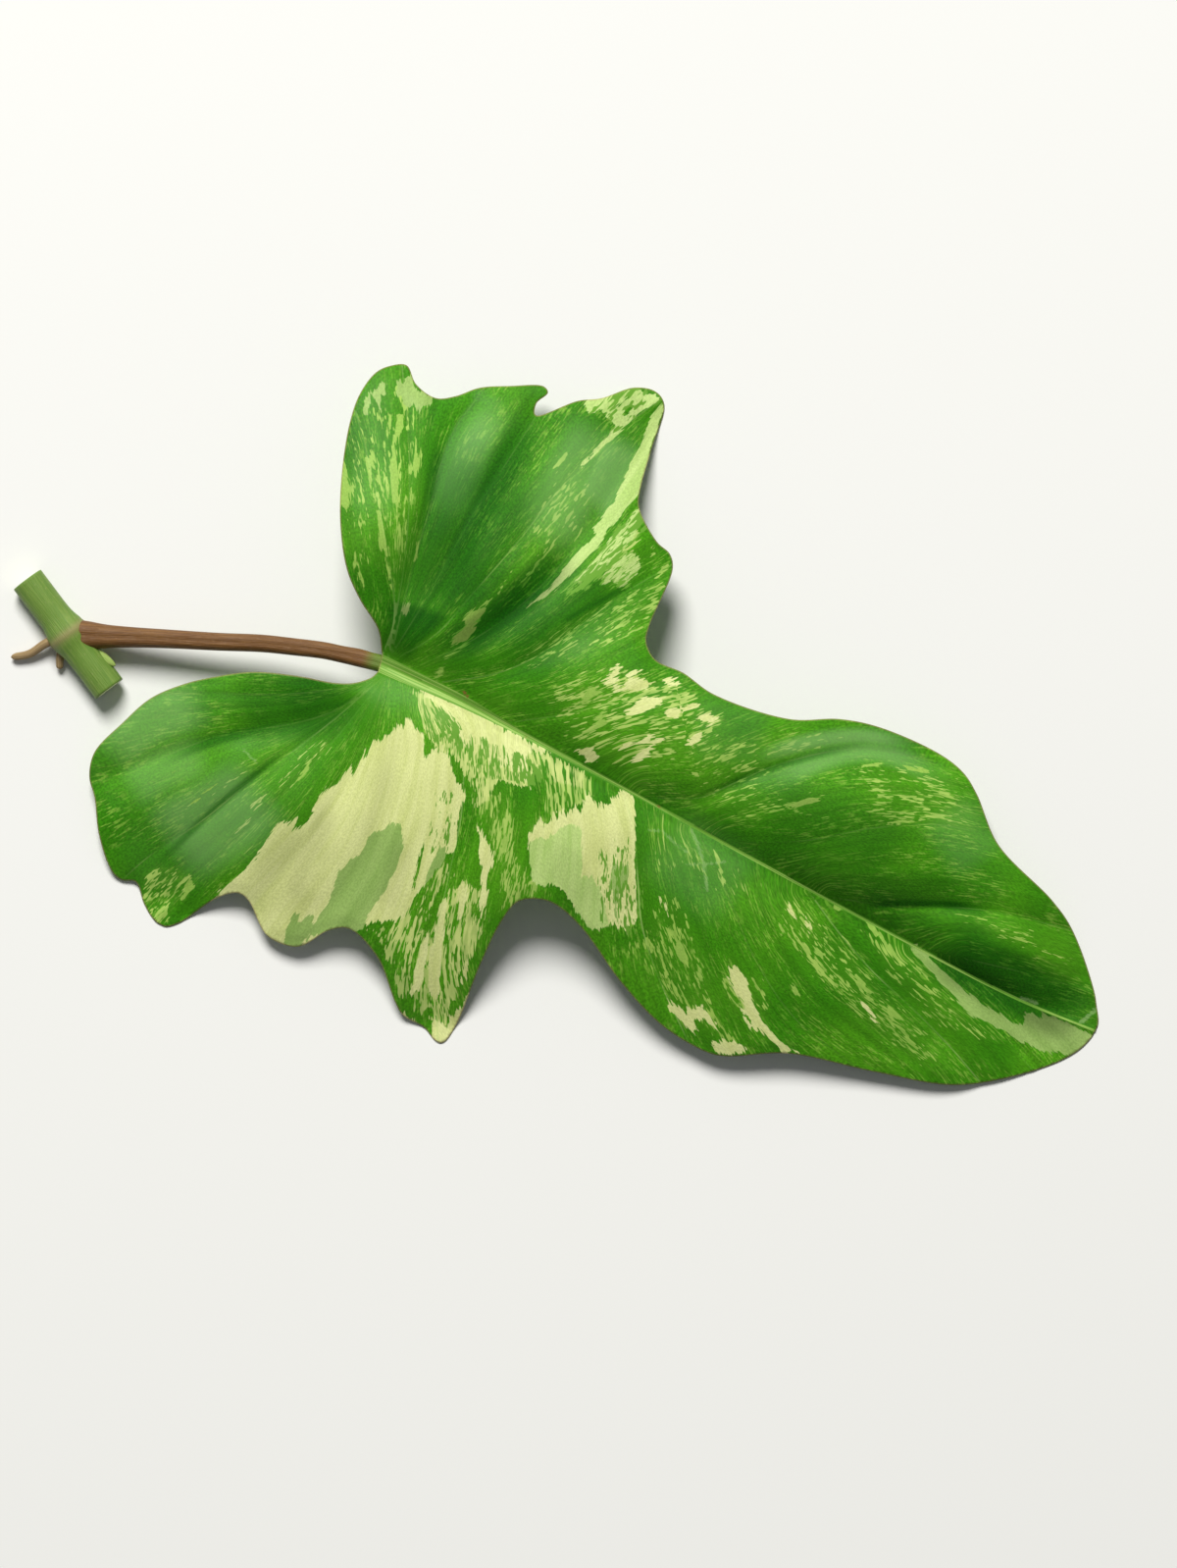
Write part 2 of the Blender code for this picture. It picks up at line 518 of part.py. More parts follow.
def stem_solid(name, finish, room=0.0):
    """The stem piece with its swollen node, cut square at both ends, and grown all round by some room."""
    middle, direction = stem_axis()
    rings = round(2 * STEM_HALF_LENGTH / STEM_STEP) + 1
    places = np.linspace(-STEM_HALF_LENGTH, STEM_HALF_LENGTH, rings)
    radii = STEM_RADIUS + room + NODE_SWELL * np.exp(-((places / NODE_WIDTH) ** 2))
    vertices, faces = tube(middle + places[:, None] * direction, radii, STEM_SIDES)
    vertices[:, 2] = np.maximum(vertices[:, 2], 0.0)
    return mesh_object(name, vertices, faces, finish)


def aerial_root(name, route, start_radius, tip_radius, finish):
    """A short aerial root with a rounded tip."""
    centres = even_curve(route, ROOT_STEP)
    radii = np.linspace(start_radius, tip_radius, len(centres))
    radii[-len(ROOT_TIP_ROUNDING):] *= ROOT_TIP_ROUNDING
    vertices, faces = tube(centres, radii, ROOT_SIDES)
    vertices[:, 2] = np.maximum(vertices[:, 2], 0.0)
    return mesh_object(name, vertices, faces, finish)


def side_bud(name, finish):
    """The pointed bud in the angle between the stem and the stalk."""
    middle, direction = stem_axis()
    across = np.cross((0.0, 0.0, 1.0), direction)
    frame = np.array([direction, across, (0.0, 0.0, 1.0)])
    start = middle + np.array(BUD_START) @ frame
    lean = np.array(BUD_LEAN) @ frame
    lean /= np.linalg.norm(lean)
    places = np.linspace(0.0, 1.0, BUD_RINGS)
    radii = BUD_RADIUS * np.sqrt(np.clip(1.0 + BUD_TIP_SHARE - places**BUD_TAPER, 0.0, 1.0))
    vertices, faces = tube(start + places[:, None] * lean * BUD_LENGTH, radii, BUD_SIDES)
    return mesh_object(name, vertices, faces, finish)


def join_by_union(base, others):
    """Joins the others to the base in one body, and removes them."""
    group = bpy.data.collections.new("joined")
    bpy.context.scene.collection.children.link(group)
    for other in others:
        bpy.context.scene.collection.objects.unlink(other)
        group.objects.link(other)
    union = base.modifiers.new("join", "BOOLEAN")
    union.operation = "UNION"
    union.operand_type = "COLLECTION"
    union.collection = group
    union.solver = "EXACT"
    bpy.context.view_layer.update()
    graph = bpy.context.evaluated_depsgraph_get()
    joined = bpy.data.meshes.new_from_object(base.evaluated_get(graph))
    base.modifiers.clear()
    base.data = joined
    for other in others:
        bpy.data.objects.remove(other, do_unlink=True)
    bpy.data.collections.remove(group)


def main():
    """Models the three pieces."""
    clear_scene()
    leaf, stalk, stem = (finish_named(name) for name in ("leaf", "stalk", "stem"))
    leaf_blade(leaf)
    stem_room = stem_solid("stem_room", stem, CLEARANCE)
    stem_room.hide_render = True
    stem_room.display_type = "WIRE"
    leaf_stalk(stalk, stem_room)
    base = stem_solid("stem_piece", stem)
    extras = [
        aerial_root(f"root_{index}", route, start, tip, stem)
        for index, (route, start, tip) in enumerate(AERIAL_ROOTS)
    ]
    extras.append(side_bud("bud", stem))
    join_by_union(base, extras)


main()
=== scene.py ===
"""The looks of a variegated philodendron cutting that lies face up on a pale surface.

The leaf's own plan is in millimetres: x runs along the midrib from the leaf's base to its tip, y across it
and z up. The cutting is moved by PLAN_CENTRE and scaled by MM to stand where the solids stand. The markings
are outlined in pixels (x, y, x, y and so on) of the photograph's 1200 x 1598 frame. PhotoPlan lays them onto
the plan.
"""

from __future__ import annotations

import logging
import math
from dataclasses import dataclass
from enum import Enum
from typing import Callable, Sequence, Union

import bpy
import numpy as np
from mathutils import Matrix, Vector
from mathutils.geometry import delaunay_2d_cdt
from mathutils.kdtree import KDTree


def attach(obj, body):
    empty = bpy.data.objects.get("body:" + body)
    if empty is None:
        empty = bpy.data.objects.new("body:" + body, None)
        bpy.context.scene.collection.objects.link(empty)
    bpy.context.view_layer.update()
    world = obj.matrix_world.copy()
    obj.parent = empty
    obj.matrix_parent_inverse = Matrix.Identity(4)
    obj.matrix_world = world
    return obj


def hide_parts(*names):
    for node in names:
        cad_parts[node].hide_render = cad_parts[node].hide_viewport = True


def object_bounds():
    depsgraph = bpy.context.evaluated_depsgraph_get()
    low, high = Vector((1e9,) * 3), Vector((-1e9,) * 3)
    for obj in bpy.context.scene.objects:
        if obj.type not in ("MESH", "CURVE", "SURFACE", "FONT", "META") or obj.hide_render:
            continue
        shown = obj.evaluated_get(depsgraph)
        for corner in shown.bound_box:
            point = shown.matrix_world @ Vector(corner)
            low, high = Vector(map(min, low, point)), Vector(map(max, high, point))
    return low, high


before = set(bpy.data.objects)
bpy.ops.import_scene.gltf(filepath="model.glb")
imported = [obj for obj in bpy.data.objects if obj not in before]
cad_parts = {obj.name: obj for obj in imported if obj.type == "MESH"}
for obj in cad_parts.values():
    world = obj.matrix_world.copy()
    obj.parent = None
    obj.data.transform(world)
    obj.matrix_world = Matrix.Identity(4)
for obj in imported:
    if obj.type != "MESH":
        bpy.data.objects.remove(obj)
SOLIDS_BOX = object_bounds()

LOG = logging.getLogger("philodendron_cutting")
BODY = "root"
UP = (0.0, 0.0, 1.0)
# A millimetre in metres, and the middle of the solids on the leaf's plan
MM = 0.001
PLAN_CENTRE = (66.485, 5.19)
# How many times finer a curve is drawn before its points are evenly spaced
FINER = 8
# How much wider than a tube its skin's streaks are laid out
TUBE_SPREAD = 1.6
# Distances that count as none
TINY = 1e-9
CLOSE = 1e-6

Colour = tuple[float, float, float]
Pair = tuple[float, float]
Route = Sequence[tuple[float, ...]]
Pixels = Sequence[float]
Outlines = Sequence[Pixels]
Triple = tuple[float, float, float]
Ramp = tuple[float, ...]
Faces = list[tuple[int, ...]]
Fields = dict[str, np.ndarray]
Socket = bpy.types.NodeSocket
Feed = Union[float, Sequence[float], Socket]

# The leaf's edge from the upper side of its base, round the tip, to the lower side of its base
MARGIN: Route = (
    # Upper rear lobe
    (-2.3, 2.3), (-6.8, 8.6), (-15.8, 14.1), (-23.4, 20.3), (-31.6, 31.6), (-38.4, 45.3), (-43.9, 61.0),
    (-45.3, 70.1), (-44.1, 78.2), (-41.3, 82.0), (-36.9, 84.6), (-31.5, 80.7), (-24.2, 79.7), (-19.2, 83.0),
    # Its small second point and the notch
    (-14.0, 88.7), (-5.8, 93.7), (3.3, 98.4), (5.4, 97.3), (3.8, 92.6), (5.3, 89.3),
    # Upper side lobe
    (14.7, 99.3), (20.6, 103.4), (28.0, 111.3), (34.4, 113.3), (38.6, 111.0), (41.5, 97.0), (44.3, 83.9),
    (46.6, 78.7), (56.3, 71.9), (61.4, 70.5), (64.3, 66.9), (66.2, 46.9), (67.6, 42.8), (72.5, 39.4),
    # Upper side of the long front lobe
    (81.8, 39.8), (93.0, 38.3), (117.0, 42.3), (130.8, 49.5), (142.9, 53.0), (163.5, 54.3), (172.5, 52.5),
    (178.9, 48.7), (191.9, 38.0), (214.7, 30.5), (224.3, 25.7), (238.2, 13.3), (242.2, 8.3), (245.5, 2.8),
    # Lower side of the front lobe
    (244.7, -4.3), (240.9, -11.3), (229.9, -22.8), (214.4, -33.9), (190.4, -41.6), (164.3, -48.8),
    (148.0, -58.3), (142.4, -59.9), (126.4, -59.0), (109.1, -53.1), (90.7, -43.8), (80.5, -41.0),
    (74.9, -41.7),
    # Lower side lobe
    (69.3, -45.5), (67.6, -54.0), (68.0, -68.0), (69.9, -88.8), (68.7, -95.1), (66.2, -95.4), (61.5, -93.5),
    (54.2, -93.2), (50.3, -90.8), (39.0, -80.8), (27.1, -76.9), (21.8, -80.3), (17.2, -87.7), (14.3, -89.9),
    (5.5, -90.5), (-4.2, -83.7), (-7.9, -82.9), (-13.0, -86.9),
    # Lower rear lobe
    (-20.5, -100.0), (-24.0, -102.9), (-28.1, -102.3), (-32.8, -99.4), (-38.0, -94.7), (-42.1, -96.2),
    (-45.8, -95.3), (-54.6, -86.9), (-61.0, -77.4), (-65.4, -72.5), (-67.4, -65.0), (-63.8, -53.0),
    (-59.4, -42.1), (-52.1, -33.4), (-44.5, -27.0), (-35.2, -20.6), (-22.0, -15.2), (-11.1, -11.9),
    (-5.8, -9.1), (-2.0, -5.2), (-1.1, -2.7),
)
MIDRIB: Route = (
    (-1.7, -0.2), (26.0, 1.0), (47.0, 0.7), (84.0, 0.3), (124.0, -0.6), (181.0, -1.5), (220.0, -1.3),
    (245.3, 1.0),
)


@dataclass(frozen=True)
class Fold:
    """How far one side of the blade rises from the midrib, over which width, at the base and at the tip."""

    rises: Pair
    widths: Pair


@dataclass(frozen=True)
class SideRib:
    """A side rib, the crease above it (depth, width of its walls, roundness) and how much its line shows."""

    depth: float
    width: float
    softness: float
    line: float
    route: Route


UPPER_FOLD = Fold((19.0, 11.5), (22.0, 9.0))
LOWER_FOLD = Fold((4.0, 3.0), (11.0, 9.0))

# Side ribs, in order from the leaf's rear to its tip
UPPER_RIBS = (
    SideRib(1.0, 6.0, 0.5, 0.5, ((-2.4, 5.0), (-3.2, 11.5), (-6.6, 19.1), (-13.7, 28.5), (-23.2, 41.4),
            (-33.5, 53.3), (-43.7, 64.5))),
    SideRib(0.8, 6.0, 0.5, 0.35, ((-1.4, 6.0), (-4.6, 17.0), (-10.0, 33.0), (-19.0, 53.0), (-29.0, 70.0),
            (-38.5, 84.5))),
    SideRib(5.2, 8.0, 1.2, 0.15, ((-0.6, 7.0), (-4.4, 23.0), (-7.6, 37.3), (-10.2, 50.0), (-13.4, 63.0),
            (-14.6, 74.0), (-13.4, 84.0))),
    SideRib(7.0, 11.0, 2.0, 0.1, ((0.6, 6.0), (2.0, 24.0), (2.6, 40.0), (2.8, 54.0), (4.2, 70.0),
            (5.5, 88.0))),
    SideRib(1.2, 6.0, 0.4, 0.4, ((3.0, 4.5), (9.5, 15.0), (14.0, 32.0), (19.0, 52.9), (21.8, 69.0),
            (27.6, 91.5), (37.0, 112.5))),
    SideRib(7.4, 11.0, 1.8, 0.1, ((8.0, 3.0), (19.0, 17.0), (27.6, 33.0), (33.0, 50.0), (35.8, 66.0),
            (37.6, 82.0), (38.6, 104.0))),
    SideRib(4.2, 9.0, 1.2, 0.25, ((18.0, 3.5), (31.0, 13.0), (39.8, 23.4), (46.9, 37.0), (54.6, 53.0),
            (64.0, 68.5))),
    SideRib(1.2, 8.0, 0.8, 0.15, ((44.0, 3.5), (57.0, 13.0), (69.0, 25.0), (82.0, 40.0))),
    SideRib(4.0, 8.0, 0.4, 0.2, ((93.0, 2.6), (104.0, 8.5), (111.1, 17.2), (120.0, 28.0), (135.9, 41.5),
            (150.0, 48.0), (163.0, 51.0))),
    SideRib(0.7, 6.0, 0.5, 0.15, ((122.0, 2.4), (139.0, 12.0), (155.0, 24.5), (172.0, 34.5), (190.0, 40.0))),
    SideRib(4.8, 8.5, 0.4, 0.15, ((158.0, 1.4), (173.4, 6.8), (184.0, 12.3), (196.0, 17.6), (210.0, 21.8),
            (226.0, 25.4))),
    SideRib(0.8, 5.0, 0.5, 0.1, ((203.0, 3.2), (214.0, 6.0), (226.0, 8.8), (240.0, 11.0))),
)
LOWER_RIBS = (
    SideRib(0.8, 5.0, 0.5, 0.15, ((-3.0, -7.5), (-13.0, -15.5), (-26.0, -23.6), (-44.7, -32.6),
            (-58.5, -40.5))),
    SideRib(5.0, 9.0, 1.5, 0.15, ((-1.8, -7.5), (-6.0, -17.6), (-13.0, -25.5), (-25.0, -35.0),
            (-37.4, -44.8), (-51.8, -61.1), (-64.0, -74.5))),
    SideRib(2.6, 7.0, 0.5, 0.35, ((-0.6, -7.5), (-5.0, -19.0), (-12.6, -35.6), (-20.6, -51.3),
            (-28.0, -68.0), (-38.0, -86.0), (-42.0, -96.0))),
    SideRib(1.0, 7.0, 0.6, 0.1, ((0.6, -7.0), (-2.0, -22.0), (-7.0, -42.0), (-14.0, -64.0), (-22.0, -85.0),
            (-27.0, -102.5))),
    SideRib(2.2, 7.0, 1.5, 0.1, ((2.4, -6.0), (4.6, -20.0), (5.6, -42.0), (3.4, -60.0), (-2.0, -83.0))),
    SideRib(2.2, 7.0, 1.5, 0.1, ((7.0, -4.4), (14.0, -18.0), (19.0, -38.0), (20.6, -58.0), (18.6, -74.0),
            (17.0, -87.0))),
    SideRib(1.4, 6.0, 0.3, 0.6, ((24.0, -2.8), (30.6, -7.0), (37.5, -20.1), (42.0, -30.6), (47.4, -50.0),
            (53.6, -71.0), (67.0, -95.0))),
    SideRib(0.8, 7.0, 0.5, 0.15, ((54.0, -2.6), (62.0, -13.0), (68.0, -27.0), (72.5, -43.0))),
    SideRib(1.6, 6.0, 0.3, 0.85, ((84.0, -2.6), (90.3, -9.2), (99.0, -23.0), (106.0, -34.0), (118.0, -46.0),
            (136.0, -60.0))),
    SideRib(0.8, 7.0, 0.5, 0.15, ((111.0, -3.2), (124.0, -13.0), (141.0, -27.0), (161.0, -38.0),
            (186.0, -43.0))),
    SideRib(2.6, 7.0, 0.6, 0.45, ((150.0, -3.2), (161.4, -8.7), (176.0, -14.4), (193.4, -19.2),
            (208.0, -24.0), (222.0, -29.6))),
    SideRib(0.8, 5.0, 0.5, 0.15, ((188.0, -3.4), (203.0, -8.0), (218.0, -12.6), (234.0, -18.6))),
)

# Heights of the blade's mid surface above the surface that it lies on: (x, y, height)
SHEET_HEIGHTS: Route = (
    (0.0, 0.0, 26.0), (35.0, 0.0, 26.5), (75.0, 0.0, 26.0), (115.0, 0.0, 22.5), (155.0, 0.0, 16.5),
    (195.0, 0.0, 8.5), (225.0, 0.0, 2.2), (243.0, 2.0, -2.2),
    # Upper side
    (-15.0, 12.0, 22.0), (-38.0, 45.0, 18.0), (-42.0, 78.0, 11.0), (-18.0, 40.0, 24.0), (-24.0, 79.0, 12.0),
    (0.0, 95.0, 9.0), (10.0, 60.0, 24.0), (24.0, 104.0, 5.0), (36.5, 112.0, -2.4), (44.0, 82.0, 11.0),
    (63.0, 68.0, 11.0), (45.0, 40.0, 25.0), (70.0, 40.0, 21.0), (95.0, 38.0, 20.0), (130.0, 49.0, 13.5),
    (165.0, 54.0, 7.0), (150.0, 28.0, 16.0), (190.0, 39.0, 5.5), (218.0, 28.0, 2.0), (238.0, 12.0, -0.5),
    # Lower side
    (-22.0, -16.0, 20.0), (-60.0, -42.0, 12.0), (-66.0, -68.0, 8.0), (-30.0, -45.0, 20.0),
    (-44.0, -95.0, 3.0), (-25.0, -101.0, -2.2), (-8.0, -80.0, 9.0), (0.0, -40.0, 22.0), (10.0, -90.0, 6.0),
    (27.0, -76.0, 11.0), (40.0, -45.0, 20.0), (52.0, -91.0, 3.6), (68.0, -94.0, -2.2), (70.0, -45.0, 19.0),
    (95.0, -45.0, 15.0), (145.0, -59.0, 6.0), (120.0, -25.0, 19.0), (165.0, -25.0, 13.0),
    (190.0, -41.0, 4.5), (230.0, -22.0, 1.0),
)


class Tone(Enum):
    """The colour of a marking with a clear edge. Each is painted over those above it."""

    LIME = "lime"
    CREAM = "cream"
    CELADON = "celadon"
    PALE = "pale"
    GREEN = "green"


class Fleck(Enum):
    """What a mottled zone is made of."""

    STREAKS = "streaks"
    GREEN_GRAINS = "green_grains"


@dataclass(frozen=True)
class Zone:
    """A mottled zone in the photograph's pixels: how much of it flecks cover, over how many mm it fades out,
    and how pale its streaks are."""

    name: str
    cover: float
    fade: float
    outline: Pixels
    paleness: float = 0.0


@dataclass(frozen=True)
class Scratch:
    """A pale scuff or a brown scar along pixels of the photograph, with its half width in mm."""

    name: str
    scar: bool
    half_width: float
    route: Pixels


@dataclass(frozen=True)
class PaintedShading:
    """A soft area of painted light along pixels of the photograph: darker for painted shade, paler for
    painted highlights. Its widths are in mm.
    """

    name: str
    strength: float
    half_width: float
    fade: float
    route: Pixels


# Painted shade: darker areas, mostly in hollows and along creases
PAINTED_SHADES = (
    PaintedShading("rear lobe's narrow valley", 0.6, 0.8, 4.0, (424, 640, 430, 580, 438, 520, 446, 470, 452, 440)),
    PaintedShading("upper lobe's middle", 0.7, 9.0, 14.0, (430, 640, 468, 560, 500, 500, 520, 460)),
    PaintedShading("upper lobe's broad valley", 0.85, 2.6, 6.0, (440, 640, 455, 600, 478, 548, 503, 500, 528, 450,
          548, 415, 560, 395)),
    PaintedShading("upper lobe's deep valley", 0.9, 2.4, 6.5, (430, 672, 470, 655, 520, 620, 560, 585, 590, 558)),
    PaintedShading("upper lobe's last valley", 0.5, 4.5, 8.0, (500, 672, 560, 640, 610, 610, 650, 590)),
    PaintedShading("side lobe's right edge", 0.3, 5.0, 8.0, (590, 620, 640, 605, 680, 580)),
    PaintedShading("side lobe's long blade", 0.12, 4.0, 6.0, (690, 370, 672, 400, 660, 440, 640, 490, 610, 540,
          575, 580, 550, 610)),
    PaintedShading("rear lobe's foot", 0.3, 5.0, 10.0, (372, 540, 390, 590, 408, 622)),
    PaintedShading("lower side lobe's left side", 0.3, 3.0, 6.0, (376, 950, 392, 990, 408, 1025, 430, 1046)),
    PaintedShading("below the front lobe's crease", 0.6, 1.5, 4.0, (890, 936, 930, 940, 972, 950)),
    PaintedShading("base of the upper side", 0.9, 4.0, 12.0, (430, 612, 426, 640, 440, 658)),
    PaintedShading("lower rear lobe's upper side", 0.7, 6.0, 8.0, (230, 740, 260, 726, 320, 718, 362, 698)),
    PaintedShading("lower rear lobe's crease", 0.8, 0.5, 2.8, (330, 731, 290, 738, 251, 746, 213, 756, 165, 774)),
    PaintedShading("lower rear lobe's second crease", 0.75, 0.3, 1.6, (296, 759, 251, 797, 213, 829, 156, 883)),
    PaintedShading("big patch's left side", 0.34, 6.0, 10.0, (330, 830, 290, 890, 280, 950)),
    PaintedShading("big patch's left fold", 0.45, 1.0, 6.0, (345, 812, 322, 855, 302, 896, 290, 940)),
    PaintedShading("big patch's right fold", 0.26, 1.0, 6.0, (400, 750, 394, 800, 380, 860, 357, 925)),
    PaintedShading("beside the wedge", 0.32, 1.5, 6.0, (414, 846, 404, 888, 386, 932)),
    PaintedShading("grey part of the second patch", 0.25, 4.0, 4.0, (552, 872, 575, 882, 604, 925)),
    PaintedShading("rear lobe's edge", 0.2, 2.5, 6.0, (356, 420, 349, 470, 347, 520, 354, 570)),
    PaintedShading("rear lobe's valley line", 0.8, 0.3, 1.6, (432, 545, 438, 520, 446, 470, 449, 450)),
    PaintedShading("broad valley's line", 0.8, 0.5, 2.4, (478, 548, 503, 500, 528, 450, 545, 420)),
    PaintedShading("deep valley's line", 0.95, 0.5, 2.4, (450, 668, 480, 652, 520, 622, 560, 597, 592, 570)),
    PaintedShading("last valley's line", 0.8, 0.3, 1.8, (560, 642, 590, 625, 625, 606, 650, 592)),
    PaintedShading("lower rear lobe's fine crease", 0.7, 0.2, 1.3, (372, 698, 335, 710, 290, 715, 245, 716)),
    PaintedShading("lower rear lobe's next crease", 0.7, 0.2, 1.3, (378, 706, 335, 721, 290, 727, 250, 730)),
    PaintedShading("front lobe's lower right", 0.3, 6.0, 9.0, (860, 1000, 920, 1040, 970, 1070)),
    PaintedShading("front lobe's hollow", 0.55, 8.0, 10.0, (775, 842, 820, 845, 870, 858, 925, 880)),
    PaintedShading("above the front lobe's crease", 0.5, 3.5, 7.0, (800, 890, 860, 905, 920, 908, 980, 912)),
    PaintedShading("along the front lobe's crease", 0.9, 0.5, 1.8, (870, 924, 920, 921, 965, 922, 1010, 929)),
    PaintedShading("wedge by the midrib", 0.85, 5.0, 9.0, (945, 955, 1010, 990, 1060, 1018, 1095, 1035, 1125, 1050)),
    PaintedShading("wall above the midrib", 0.5, 3.0, 6.0, (790, 865, 840, 895, 900, 935)),
    PaintedShading("front lobe's first crease", 0.7, 0.3, 1.8, (705, 816, 747, 798, 780, 785, 835, 769, 881, 759)),
)

# Painted highlights: paler areas, mostly on crests
PAINTED_SHEENS = (
    PaintedShading("upper lobe's right slope", 0.38, 5.0, 9.0, (545, 560, 575, 510, 600, 465, 620, 430)),
    PaintedShading("upper lobe's crest", 0.4, 1.2, 8.0, (456, 530, 470, 482, 488, 444, 518, 412)),
    PaintedShading("between the pale blades", 0.54, 3.0, 7.0, (598, 525, 618, 485, 638, 440)),
    PaintedShading("lower rear lobe's crown", 0.42, 4.0, 7.0, (105, 775, 130, 748, 165, 728, 215, 712)),
    PaintedShading("lower rear lobe's shoulder", 0.3, 3.0, 8.0, (125, 808, 165, 783, 215, 768)),
    PaintedShading("lower rear lobe's middle", 0.42, 7.0, 11.0, (165, 868, 200, 845, 240, 825, 275, 798)),
    PaintedShading("front lobe's right side", 0.16, 4.0, 9.0, (960, 820, 985, 855, 1005, 885)),
    PaintedShading("below the midrib's sheen", 0.16, 5.0, 12.0, (670, 850, 715, 885, 760, 915)),
    PaintedShading("front lobe's upper crest", 0.5, 0.6, 3.2, (770, 772, 830, 755, 885, 751, 935, 762)),
    PaintedShading("front lobe's lower crest", 0.4, 1.0, 4.0, (785, 797, 830, 777, 870, 766, 906, 768, 960, 792)),
    PaintedShading("front lobe's shoulder", 0.1, 5.0, 8.0, (700, 740, 740, 745, 790, 752)),
)

SCRATCHES = (
    Scratch("scuff below the midrib", False, 0.7, (705, 846, 711, 860, 717, 880, 721, 906)),
    Scratch("fine scuff", False, 0.5, (661, 846, 676, 847, 690, 862, 700, 868)),
    Scratch("cross scuff", False, 0.5, (700, 881, 722, 880, 740, 878)),
    Scratch("rear scuff", False, 0.5, (248, 764, 256, 772, 262, 777)),
    Scratch("fold line at the tip", False, 0.8, (1106, 1044, 1113, 1038, 1121, 1031)),
    Scratch("tip scuff", False, 0.7, (1044, 1019, 1053, 1021, 1060, 1024)),
    Scratch("first midrib scar", True, 0.6, (473, 706, 477, 710)),
    Scratch("second midrib scar", True, 0.3, (536, 751, 539, 753)),
    Scratch("third midrib scar", True, 0.4, (669, 820, 673, 823)),
)

# Lime markings, outlined in the photograph's pixels
LIME_OUTLINES: Outlines = (
    # Rear lobe: edge strip, left streak, lower streak, rib streak, middle streak, upper streak, top streak,
    # right streak, edge fleck, inner fleck
    (354, 466, 356, 490, 359, 519, 345, 521, 342, 505, 345, 480),
    (378, 456, 382, 462, 384, 480, 380, 483, 382, 500, 387, 514, 386, 520, 381, 507, 378, 498, 375, 482,
     373, 468),
    (384, 520, 391, 519, 393, 535, 395, 550, 399, 568, 394, 570, 388, 562, 384, 552, 386, 543, 385, 530),
    (396, 567, 400, 590, 404, 612, 399, 601, 395, 580),
    (400, 454, 405, 460, 406, 478, 409, 484, 408, 498, 406, 505, 410, 521, 403, 520, 400, 505, 399, 490,
     397, 474),
    (396, 425, 400, 419, 399, 432, 396, 446, 394, 463, 391, 462, 392, 445),
    (405, 422, 414, 421, 413, 434, 409, 440, 406, 448, 404, 456, 401, 450, 403, 436),
    (421, 458, 427, 461, 430, 472, 427, 482, 424, 491, 421, 483, 415, 485, 416, 477, 421, 474),
    (359, 563, 364, 562, 367, 575, 370, 589, 373, 601, 366, 592, 361, 576),
    (426, 551, 429, 556, 428, 567, 424, 575, 421, 572, 425, 562),
    # Leaf's base: blade fleck, small fleck
    (495, 618, 489, 620, 477, 625, 471, 631, 474, 637, 469, 644, 463, 649, 460, 655, 466, 659, 476, 654,
     482, 646, 485, 638, 490, 632, 496, 626),
    (450, 679, 454, 684, 452, 690, 446, 694, 443, 700, 439, 696, 443, 688),
    # Cluster above the midrib: left streak, lower left, small spot
    (600, 698, 607, 700, 614, 707, 606, 712, 600, 718, 590, 721, 580, 721, 590, 715, 595, 709),
    (619, 722, 621, 732, 616, 740, 610, 743, 604, 741, 602, 733, 608, 728, 613, 722),
    (585, 743, 580, 750, 576, 754, 571, 753, 577, 746),
    # Front lobe: upper fleck, upper streak, crest streak, edge streak, middle streak, lower upright fleck,
    # lower small fleck, lower pale fleck, lower left fleck, lower right fleck, lower upper fleck, lower lone
    # fleck, lower faint fleck, lower long fleck
    (769, 809, 763, 815, 752, 816, 757, 812),
    (846, 812, 832, 818, 818, 822, 805, 824, 800, 821, 812, 816, 828, 812),
    (865, 782, 872, 780, 885, 778, 899, 777, 894, 781, 880, 784, 866, 784),
    (918, 780, 938, 782, 952, 786, 940, 788, 925, 785),
    (900, 839, 912, 836, 926, 836, 915, 840, 902, 841),
    (689, 960, 696, 958, 700, 966, 699, 975, 698, 986, 694, 982, 690, 972, 686, 964),
    (667, 961, 672, 966, 675, 975, 670, 972),
    (711, 985, 717, 985, 717, 1000, 714, 1009, 710, 1000, 708, 990),
    (793, 941, 800, 948, 798, 956, 792, 948),
    (826, 965, 835, 967, 843, 972, 838, 976, 830, 973),
    (838, 946, 844, 955, 845, 969, 840, 966),
    (807, 1001, 811, 1003, 817, 1014, 811, 1015, 807, 1008),
    (664, 925, 670, 929, 674, 939, 668, 935),
    (871, 994, 878, 991, 880, 998, 884, 1003, 888, 1012, 891, 1021, 886, 1017, 880, 1009, 874, 1001),
    # Along the midrib: end fleck, end streak
    (841, 918, 850, 922, 860, 926, 869, 929, 855, 929, 847, 927),
    (883, 939, 893, 944, 900, 952, 905, 960, 911, 965, 916, 972, 920, 981, 913, 977, 906, 970, 901, 962,
     895, 955, 888, 948),
    # Lower rear lobe: tip fleck, tip left fleck, tip right fleck, middle streak, middle fleck, inner fleck
    (191, 891, 196, 897, 197, 905, 190, 910, 186, 917, 180, 919, 184, 908),
    (155, 925, 159, 924, 159, 937, 155, 939),
    (165, 941, 168, 933, 171, 937, 168, 944),
    (189, 823, 196, 815, 205, 808, 215, 802, 223, 797, 214, 807, 204, 814, 195, 821),
    (172, 785, 178, 779, 175, 787),
    (314, 773, 318, 773, 316, 786, 309, 792, 300, 799, 302, 792, 308, 784),
)
